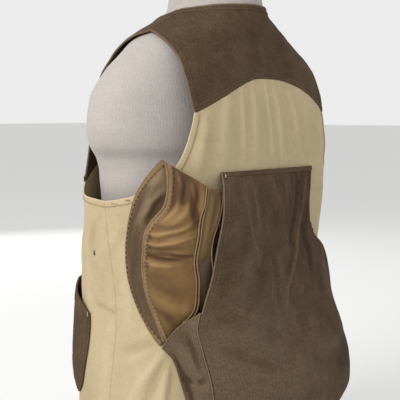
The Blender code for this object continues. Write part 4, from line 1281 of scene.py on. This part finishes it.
def bag_relief(u, height):
    """Creases of the bag, and the sag of its upper edge between the corners."""
    fade = min((BAG_TOP - height) / 0.012, 1.0) if height < BAG_TOP else 0.0
    edges = min((1.0 - abs(u)) / 0.06, 1.0) if abs(u) < 1.0 else 0.0
    low = clamp((height - BAG_FOOT) / 0.02)
    soft = crease_rise(BAG_CREASES, u, height, 0.175, 1.0)
    lumps = 0.0016 * noise.noise(Vector((u * 5.0, height * 22.0, 3.0)))
    lumps += 0.0007 * noise.noise(Vector((u * 14.0, height * 60.0, 7.0)))
    return (soft + lumps) * max(fade, 0.15) * max(edges, 0.25) * low


def bag_tint(u, height):
    """Painted light: the bag is paler at its lower left, partly from dust, and has painted shade along the top
    and the right.
    """
    low = clamp((0.36 - height) / 0.16)
    left = clamp(0.5 + u * 0.7)
    high = clamp((height - 0.38) / 0.09)
    lines = crease_rise(BAG_SHADE_AND_HIGHLIGHTS, u, height, 0.175, 1.0)
    return 0.4 * low * left + 0.16 * left - 0.14 * high - 0.26 * clamp(-u - 0.1) + lines


BAG = Skin(bag_place, bag_relief, s_step=0.01, t_step=0.0015, fine=False, domain=(-1.0, 1.0, BAG_FOOT, 0.499),
           tint=bag_tint)


def build_bag():
    """The brown main panel of the game bag."""
    heights = steps(BAG_FOOT, 0.15, 22) + steps(0.153, BAG_TOP, 96)
    rows = [[(u, height) for u in steps(-1.0, 1.0, 120)] for height in heights]
    obj = shell("bag_cloth", BAG, rows, "brown_canvas", free=True)
    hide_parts("bag_panel")
    top = [(u, BAG_TOP) for u in steps(1.0, -1.0, 90)]
    ribbon("bag_hem", BAG, top, 1, 0.0072, 0.0007, "brown_canvas")
    left = [(1.0, height) for height in steps(GUSSET_LEFT_TOP, BAG_TOP, 60)]
    cording("bag_left_edge", BAG, left, 0.0013, "brown_edge", lift=-0.0006, wobble=0.15)
    lines = [thread_line(BAG, top, 1, 0.0054)]
    for side, _ in SIDES:
        edge = [(float(side), height) for height in steps(BAG_FOOT + 0.004, BAG_TOP, 130)]
        lines += [thread_line(BAG, edge, side, inset) for inset in (0.003, 0.009)]
    stitching("bag_stitches", BAG, lines, "brown_thread", lift=0.0005)
    bartack("bag_bartack_left", BAG, (0.965, 0.495), (0.968, 0.4912), "tan_thread")
    bartack("bag_bartack_right", BAG, (-0.965, 0.495), (-0.968, 0.4912), "brown_thread")


def gusset_skin(side):
    """One lower side of the bag: share across from the main panel, share up from the foot."""
    if side > 0:
        top, front_line, tip_lift = GUSSET_LEFT_TOP, GUSSET_LEFT, GUSSET_LEFT_LIFT
    else:
        top, front_line, tip_lift = GUSSET_RIGHT_TOP, GUSSET_RIGHT, GUSSET_RIGHT_LIFT
    foot = front_line[-1][0] + SEAM

    def place(u, v):
        rear_height = foot + (top - foot) * v
        front_height = foot + (front_line[0][0] - foot) * v
        angle, height, out = bag_place(side, rear_height)
        rear = (angle + side * 0.12, height, max(out - CLOTH - 3 * LAYER, CLOTH + LAYER))
        front_angle = GUSSET_LADDERS[side].read(-front_height)[0]
        front = (front_angle, front_height, CLOTH + LAYER + tip_lift * max(v, 0.0) ** 6)
        angle, height, out = lerp(rear, front, u)
        inner = clamp(u)
        belly = 0.006 * math.sin(math.pi * inner) * math.sin(math.pi * min(max(v, 0.0) * 1.2, 1.0))
        return angle, height, out + belly

    def relief(u, v):
        edges = min(max(u, 0.0), max(1.0 - u, 0.0)) / 0.12
        return crease_rise(GUSSET_CREASES, u, v, 0.06, 0.19) * min(edges, 1.0)

    def tint(u, v):
        # Painted shade in the hollows of the creases and painted highlight on their ridges, over a paler tone
        # with random mottling
        crease_shade_and_highlight = 130.0 * crease_rise(GUSSET_CREASES, u, v, 0.06, 0.19)
        return 0.34 + 0.25 * noise.noise(Vector((u * 3.0, v * 7.0, side * 2.0))) + crease_shade_and_highlight

    return Skin(place, relief, s_step=0.02, t_step=0.01, fine=False, domain=UNIT, tint=tint)


def build_bag_gusset(side, word):
    skin = gusset_skin(side)
    rows = [[(u, v) for u in steps(0.0, 1.0, 30)] for v in steps(0.0, 1.0, 90)]
    obj = shell(f"bag_side_{word}", skin, rows, "brown_canvas", flip=side < 0, free=True)
    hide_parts(f"bag_gusset_{word}")
    ridge = [(0.0, v) for v in steps(0.02, 1.0, 80)]
    cording(f"bag_seam_{word}", skin, ridge, 0.0013, "brown_edge", lift=0.0006, wobble=0.2)
    front = [(1.0, v) for v in steps(0.02, 0.97, 80)]
    cording(f"bag_foot_seam_{word}", skin, front, 0.001, "brown_canvas", lift=-0.0006, flat=0.8,
            wobble=0.2)
    if side > 0:
        mouth = [(u, 1.0) for u in steps(0.0, 1.0, 30)]
        cording("bag_mouth_edge", skin, mouth, 0.0013, "brown_edge", lift=-0.0005, wobble=0.15)
    lines = [thread_line(skin, ridge, -side, 0.0035), thread_line(skin, front, side, 0.0028)]
    stitching(f"bag_side_stitches_{word}", skin, lines, "brown_thread", lift=0.0004)


# Liner
def strip_skin(rear_line, front_line, belly, creases, width, length, tint):
    """A strip of the liner: share across from its rear seam, share up from its lower tip."""
    def place(u, v):
        rear, front = along(rear_line, 1.0 - v), along(front_line, 1.0 - v)
        angle, height, out = lerp(rear, front, u)
        inner, rise = clamp(u), clamp(v)
        return angle, height, out + belly * math.sin(math.pi * inner) * math.sin(math.pi * rise)

    def relief(u, v):
        edges = min(max(u, 0.0), max(1.0 - u, 0.0)) / 0.05
        ends = min(max(v, 0.0), max(1.0 - v, 0.0)) / 0.03
        return crease_rise(creases, u, v, width, length) * min(edges + 0.3, 1.0) * min(ends + 0.2, 1.0)

    return Skin(place, relief, s_step=0.01, t_step=0.006, fine=False, domain=UNIT, tint=tint)


def liner_tint(u, v):
    """Painted shade: the coated liner darkens towards its top front corner, besides the painted shade, sheen and
    patches of its table.
    """
    top = clamp((v - 0.68) / 0.12) * clamp((u - 0.2) / 0.25)
    return crease_rise(LINER_SHADE_SHEEN_AND_PATCHES, u, v, 0.05, 0.27) - 0.34 * top - 0.06


def strip_tint(_, v):
    """The inner strip turns from olive to the greyer inside of the bag towards its foot."""
    return 0.25 - 0.85 * clamp((0.46 - v) / 0.1)


LIP = strip_skin(LIP_SEAM, LIP_EDGE, 0.003, LIP_CREASES, 0.04, 0.285,
                 lambda u, v: crease_rise(LIP_PATCHES_AND_SHADOW, u, v, 0.04, 0.285))
LINER_SIDE = strip_skin(GUSSET_SEAM, LIP_SEAM, 0.008, LINER_CREASES, 0.05, 0.27,
                        liner_tint)
STRIP = strip_skin(STRIP_EDGE, GUSSET_SEAM, 0.001, STRIP_CREASES, 0.015, 0.23, strip_tint)


def strip_rows(rear_line, front_line, columns, count):
    """Places of a strip, held clear of its seams."""
    rows = []
    for v in steps(0.0, 1.0, count):
        rear, front = along(rear_line, 1.0 - v), along(front_line, 1.0 - v)
        width = (torso_point(*rear) - torso_point(*front)).length
        margin = min(LINER_SEAM / width, 0.2)
        rows.append([(u, v) for u in steps(margin, 1.0 - margin, columns)])
    return rows


def build_liner():
    """The liner pulled out of the bag's left mouth."""
    lip = shell("lip_cloth", LIP, strip_rows(LIP_SEAM, LIP_EDGE, 22, 120), "lip_canvas",
                thickness=LINER)
    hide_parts("liner_lip")
    side = shell("liner_cloth", LINER_SIDE, strip_rows(GUSSET_SEAM, LIP_SEAM, 60, 190), "coated_liner",
                 thickness=LINER)
    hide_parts("liner_gusset")
    strip = shell("strip_cloth", STRIP, strip_rows(STRIP_EDGE, GUSSET_SEAM, 12, 110), "olive_canvas",
                  thickness=LINER)
    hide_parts("liner_strip")

    outer = [(1.0, v) for v in steps(0.01, 0.99, 110)]
    cording("lip_roll", LIP, outer, 0.002, "lip_edge", lift=-0.0006, flat=0.9, wobble=0.25)
    ribbon("lip_hem", LIP, outer, 1, 0.006, 0.0009, "lip_edge")
    stitching("lip_stitches", LIP, [thread_line(LIP, outer, 1, 0.0056)], "rust_thread",
              length=0.0042, gap=0.003, radius=0.00095, lift=0.0009)
    ribbon("lip_binding", LINER_SIDE, outer, 1, 0.0076, 0.0013, "lip_binding")
    cording("lip_piping", LINER_SIDE, outer, 0.0016, "lip_binding", lift=0.001, wobble=0.3)
    stitching("piping_stitches", LINER_SIDE, [thread_line(LINER_SIDE, outer, 1, 0.0066)],
              "rust_thread", length=0.0036, gap=0.0026, radius=0.0007, lift=0.0014)
    rear = [(0.0, v) for v in steps(0.08, 0.99, 100)]
    for name, inset in (("rear_piping_1", -0.0004), ("rear_piping_2", 0.0036)):
        line = thread_line(LINER_SIDE, rear, -1, inset)
        cording(name, LINER_SIDE, line, 0.0011, "lip_binding", lift=0.001, wobble=0.2)
    stitching("rear_piping_stitches", LINER_SIDE, [thread_line(LINER_SIDE, rear, -1, 0.0016)],
              "dark_thread", length=0.003, gap=0.0014, radius=0.0004)
    cording("strip_edge_roll", STRIP, rear, 0.0011, "lip_binding", lift=0.0004, wobble=0.2)
    top = [(u, 1.0) for u in steps(0.02, 0.98, 30)]
    cording("liner_top_edge", LINER_SIDE, top, 0.0009, "coated_liner", lift=-0.0006)
    build_gather_marks()


def build_gather_marks():
    """Tucks pinched across the binding where the liner is gathered, drawn as dark ticks of painted shade in
    their folds.
    """
    marks = random.Random(4)
    lines = []
    for v in (0.552, 0.537, 0.52, 0.503, 0.489, 0.474, 0.458, 0.441, 0.424, 0.409):
        reach = marks.uniform(0.13, 0.19)
        tilt = marks.uniform(0.004, 0.01)
        lines.append([(0.995 - reach, v + tilt), (0.995, v)])
    stitching("gather_tuck_shade", LINER_SIDE, lines, "rust_thread", length=0.0064, gap=0.0002,
              radius=0.0008, lift=0.0012)


# Edges, seams and stitching of the body
HEM_WIDTH = 0.0085
HEM_STEP = 0.006
# Armhole stretches: name, line, steps, side of the hem on the left half, cloth, edge, radius of the edge
ARMHOLES = (
    ("back", ARMHOLE_BACK, 90, 1, "tan_twill", "tan_edge", 0.0011),
    ("front", ARMHOLE_FRONT, 60, -1, "tan_twill", "tan_edge", 0.0011),
    ("yoke", ARMHOLE_YOKE, 90, 1, "brown_canvas", "brown_edge", 0.0014),
    ("patch", ARMHOLE_PATCH, 90, -1, "brown_canvas", "brown_edge", 0.0014),
)


def lapped_seam(name, line, side):
    """A raised seam of the brown cloth; gives the lines of its two rows of thread."""
    ribbon(name, TORSO, line, side, HEM_WIDTH, 0.0007, "brown_canvas", inset=-0.0012)
    return [thread_line(TORSO, line, side, inset) for inset in (0.0012, 0.007)]


def bound_neck(word, line, side):
    """A turned and bound stretch of the neck; gives the line of its thread."""
    cording(f"neck_edge_{word}", TORSO, line, 0.0016, "brown_edge", lift=-0.0004)
    ribbon(f"neck_hem_{word}", TORSO, line, side, 0.008, 0.0006, "brown_canvas")
    return thread_line(TORSO, line, side, 0.0068)


def build_trims():
    """Turned hems, bound armholes, seam ridges and rows of thread on the torso panels."""
    arch_line = [(angle, arch(angle)) for angle in steps(-ARCH_CORNER[0], ARCH_CORNER[0], 150)]
    rows = lapped_seam("arch_hem", arch_line, 1)
    stitching("arch_stitches", TORSO, rows, "brown_thread", lift=0.0009)

    tan_lines, brown_lines, pale_lines = [], [], []
    for side, word in SIDES:
        def hand(places):
            return places if side > 0 else mirrored(places)

        for part, curve, count, turn, finish, edge, radius in ARMHOLES:
            line = hand(curve_places(curve, count))
            ribbon(f"armhole_hem_{part}_{word}", TORSO, line, side * turn, HEM_WIDTH, 0.0006, finish)
            cording(f"armhole_edge_{part}_{word}", TORSO, line, radius, edge, lift=-0.0006)
            lines = tan_lines if finish == "tan_twill" else brown_lines
            lines.append(thread_line(TORSO, line, side * turn, 0.0072))

        seam = hand([(90.0, height) for height in steps(HEM + 0.001, UNDERARM - 0.001, 110)])
        cording(f"side_seam_{word}", TORSO, seam, 0.0008, "tan_twill", lift=-0.0003)
        pale_lines.append(thread_line(TORSO, seam, -side, 0.0004))

        chest = hand([patch_seam(t) for t in steps(0.0, 1.0, 60)])
        brown_lines += lapped_seam(f"chest_seam_{word}", chest, side)
        brown_lines.append(bound_neck(f"front_{word}", hand(curve_places(NECKLINE_FRONT, 80)), side))
        drop = SHOULDER_TIP - NECK_SIDE
        crest = hand([(90.0, NECK_SIDE + drop * t**1.3) for t in steps(0.0, 1.0, 50)])
        brown_lines += lapped_seam(f"shoulder_seam_{word}", crest, side)

        opening = hand([lerp(NECK_POINT, (179.8, NECK_BOTTOM[1]), t) for t in steps(0.0, 1.0, 24)])
        cording(f"neck_edge_tan_{word}", TORSO, opening, 0.0011, "tan_edge", lift=-0.0005)
        tan_lines.append(thread_line(TORSO, opening, -side, 0.0068))

    rise = NECK_SIDE - NECK_BACK
    neck_back = [(angle, NECK_BACK + rise * (angle / 90.0) ** 2) for angle in steps(-90, 90, 120)]
    brown_lines.append(bound_neck("back", neck_back, -1))

    around = [(angle, HEM + 0.0004) for angle in steps(-179.8, 179.8, 320)]
    ribbon("hem_turn", TORSO, around, 1, 0.013, 0.0006, "tan_twill", spacing=HEM_STEP)
    tan_lines.append(thread_line(TORSO, around, 1, 0.0115, HEM_STEP))

    stitching("tan_stitches", TORSO, tan_lines, "rust_thread", lift=0.0008)
    stitching("side_seam_stitches", TORSO, pale_lines, "pale_thread", lift=0.0005)
    stitching("brown_stitches", TORSO, brown_lines, "brown_thread", lift=0.0008)


def build_wear():
    """The small worn-through hole in the left front, as a dark sheet of painted shade, and frayed threads at the
    foot of the left armhole.
    """
    middle, tall, wide = (98.6, 0.3836), 0.0032, 0.0017 / DEGREE
    hole = Skin(lambda angle, height: (angle, height, 0.0003))
    rows = []
    for v in steps(-0.97, 0.97, 12):
        reach = wide * math.sqrt(1.0 - v * v) * (1.0 + 0.25 * noise.noise(Vector((v * 3.0, 0.0, 5.0))))
        rows.append([(middle[0] + reach * u + 0.25 * v, middle[1] + tall * v) for u in steps(-1.0, 1.0, 8)])
    # A dark sheet of painted shade fills the worn-through hole
    shell("worn_hole_shade", hole, rows, "hole_shade_and_fray_dark", thickness=0.0006)
    draw = random.Random(11)
    frays, marks, crossed = [], [], []
    for k in range(22):
        turn = 2 * math.pi * k / 22 + draw.uniform(-0.1, 0.1)
        start = (middle[0] + wide * 1.05 * math.cos(turn), middle[1] + tall * 1.05 * math.sin(turn))
        grow = draw.uniform(1.25, 1.75)
        end = (middle[0] + wide * grow * math.cos(turn + 0.2), middle[1] + tall * grow * math.sin(turn))
        frays.append([start, end])
    for k in range(5):
        angle = 86.2 - 0.62 * k + draw.uniform(-0.2, 0.2)
        height = 0.4556 + draw.uniform(-0.0012, 0.0012)
        end = (angle - draw.uniform(0.3, 0.7), height + draw.uniform(0.0008, 0.0022))
        marks.append([(angle, height), end])
    for k in range(4):
        angle = 79.0 - 0.6 * k
        crossed.append([(angle, 0.4612), (angle - 0.55, 0.4638)])
        crossed.append([(angle - 0.55, 0.4612), (angle, 0.4638)])
    stitching("hole_frays", TORSO, frays, "tan_thread", length=0.0012, gap=0.0001, radius=0.00022,
              lift=0.0004)
    stitching("frayed_marks", TORSO, marks, "hole_shade_and_fray_dark", length=0.0014, gap=0.0002, radius=0.0004,
              lift=0.0008)
    stitching("crossed_mending", TORSO, crossed, "brown_thread", length=0.0024, gap=0.0001,
              radius=0.00026, lift=0.0009)


# Cloth pieces: name, width, length and area of the cut, how held, what it rests on, starts of the names of
# its trims.
# A row with {} in its name is one piece on the left and one on the right.
SHEETS = (
    ("back_tan", 0.64, 0.535, 0.3, "hung", "yoke_back",
     ("armhole_hem_back", "armhole_edge_back", "hem_turn", "side_seam", "tan_stitches")),
    ("yoke_back", 0.45, 0.175, 0.052, "laid", "form_cover",
     ("arch_", "armhole_hem_yoke", "armhole_edge_yoke", "neck_edge_back", "neck_hem_back", "shoulder_seam",
      "brown_stitches")),
    ("band", 0.036, 0.482, None, "hung", "front_tan_left", ("band_stitches",)),
    ("front_tan_{}", 0.29, 0.52, 0.118, "hung", "yoke_front_{}",
     ("armhole_hem_front_{}", "armhole_edge_front_{}", "neck_edge_tan_{}")),
    ("yoke_front_{}", 0.15, 0.29, 0.027, "laid", "form_cover",
     ("armhole_hem_patch_{}", "armhole_edge_patch_{}", "chest_seam_{}", "neck_edge_front_{}",
      "neck_hem_front_{}")),
    ("pocket_cloth_{}", 0.17, 0.165, 0.0245, "hung", "front_tan_{}",
     ("pocket_hem_{}", "pocket_stitches_{}", "pocket_bartack_rear_{}", "pocket_bartack_front_{}")),
    ("bag_cloth", 0.43, 0.44, 0.15, "hung", "back_tan",
     ("bag_hem", "bag_left_edge", "bag_stitches", "bag_bartack")),
    ("bag_side_left", 0.085, 0.235, 0.0115, "hung", "bag_cloth",
     ("bag_seam_left", "bag_foot_seam_left", "bag_mouth_edge", "bag_side_stitches_left")),
    ("bag_side_right", 0.085, 0.325, 0.016, "hung", "bag_cloth",
     ("bag_seam_right", "bag_foot_seam_right", "bag_side_stitches_right")),
    ("lip_cloth", 0.055, 0.3, 0.0105, "hung", "liner_cloth",
     ("lip_roll", "lip_hem", "lip_stitches", "lip_binding", "lip_piping")),
    ("liner_cloth", 0.075, 0.29, 0.0165, "gathered", "strip_cloth",
     ("piping_stitches", "rear_piping", "liner_top_edge", "gather_tuck_shade")),
    ("strip_cloth", 0.028, 0.25, 0.0045, "hung", "bag_cloth", ("strip_edge_roll",)),
)
# Worn places, added to the left front's list of trims alone
WEAR = ("worn_hole_shade", "hole_frays", "frayed_marks", "crossed_mending")


def declare_sheets():
    """Work out each cloth piece's name and the names of its trims, without using them."""
    for pattern, width, length, area, held, carrier, starts in SHEETS:
        for word in ("left", "right") if "{}" in pattern else ("",):
            name = pattern.format(word)
            own = tuple(start.format(word) for start in starts)
            if name == "front_tan_left":
                own += WEAR


# Camera, light and floor
def build_camera():
    data = bpy.data.cameras.new("photo_camera")
    data.sensor_width = 36.0
    data.lens = 36.0 * FOCAL_PIXELS / FRAME_PIXELS
    camera = bpy.data.objects.new("photo_camera", data)
    bpy.context.scene.collection.objects.link(camera)
    yaw = math.atan((FRAME_PIXELS / 2 - AXIS_PIXEL) / FOCAL_PIXELS)
    ahead = Matrix.Rotation(-yaw, 3, "Z") @ Vector((-math.sin(CAMERA_TURN), -math.cos(CAMERA_TURN), 0.0))
    right = Vector((ahead.y, -ahead.x, 0.0))
    forward = ahead * math.cos(CAMERA_PITCH) - Vector((0.0, 0.0, math.sin(CAMERA_PITCH)))
    up = right.cross(forward)
    placed = Matrix((right, up, -forward)).transposed().to_4x4()
    placed.translation = Vector((
        CAMERA_DISTANCE * math.sin(CAMERA_TURN), CAMERA_DISTANCE * math.cos(CAMERA_TURN), CAMERA_HEIGHT,
    ))
    camera.matrix_world = placed
    bpy.context.scene.camera = camera


def build_light(name, place, size, power):
    data = bpy.data.lights.new(name, "AREA")
    data.shape = "RECTANGLE"
    data.size, data.size_y = size
    data.energy = power
    light = bpy.data.objects.new(name, data)
    light.location = place
    light.rotation_euler = (Vector((0.0, 0.0, 0.4)) - Vector(place)).to_track_quat("-Z", "Y").to_euler()
    bpy.context.scene.collection.objects.link(light)


def build_studio():
    build_camera()
    build_light("key", (2.7, 0.1, 2.0), (1.3, 1.3), 73.0)
    build_light("front_fill", (-1.4, -2.6, 1.4), (2.2, 2.2), 22.0)
    build_light("rim", (-2.4, 1.2, 1.9), (1.6, 1.6), 9.0)
    world = bpy.data.worlds.new("studio")
    world.use_nodes = True
    world.node_tree.nodes["Background"].inputs["Color"].default_value = (1.0, 1.0, 1.0, 1.0)
    world.node_tree.nodes["Background"].inputs["Strength"].default_value = 0.84
    bpy.context.scene.world = world
    bpy.context.scene.view_settings.view_transform = "Standard"
    material = bpy.data.materials.new("floor")
    material.use_nodes = True
    shader = material.node_tree.nodes["Principled BSDF"]
    shader.inputs["Base Color"].default_value = (0.74, 0.74, 0.73, 1.0)
    shader.inputs["Roughness"].default_value = 0.9
    size = 40.0
    mesh = bpy.data.meshes.new("floor")
    mesh.from_pydata([(-size, -size, 0.0), (size, -size, 0.0), (size, size, 0.0), (-size, size, 0.0)], [],
                     [(0, 1, 2, 3)])
    mesh.materials.append(material)
    floor = bpy.data.objects.new("floor", mesh)
    bpy.context.scene.collection.objects.link(floor)


def main():
    make_materials()
    build_studio()
    build_form()
    build_back()
    build_yoke()
    build_closing()
    for side, word in SIDES:
        build_front(side, word)
        build_patch(side, word)
        build_pocket(side, word)
        build_bag_gusset(side, word)
    build_bag()
    build_liner()
    build_trims()
    build_wear()
    declare_sheets()


main()
bpy.context.view_layer.update()
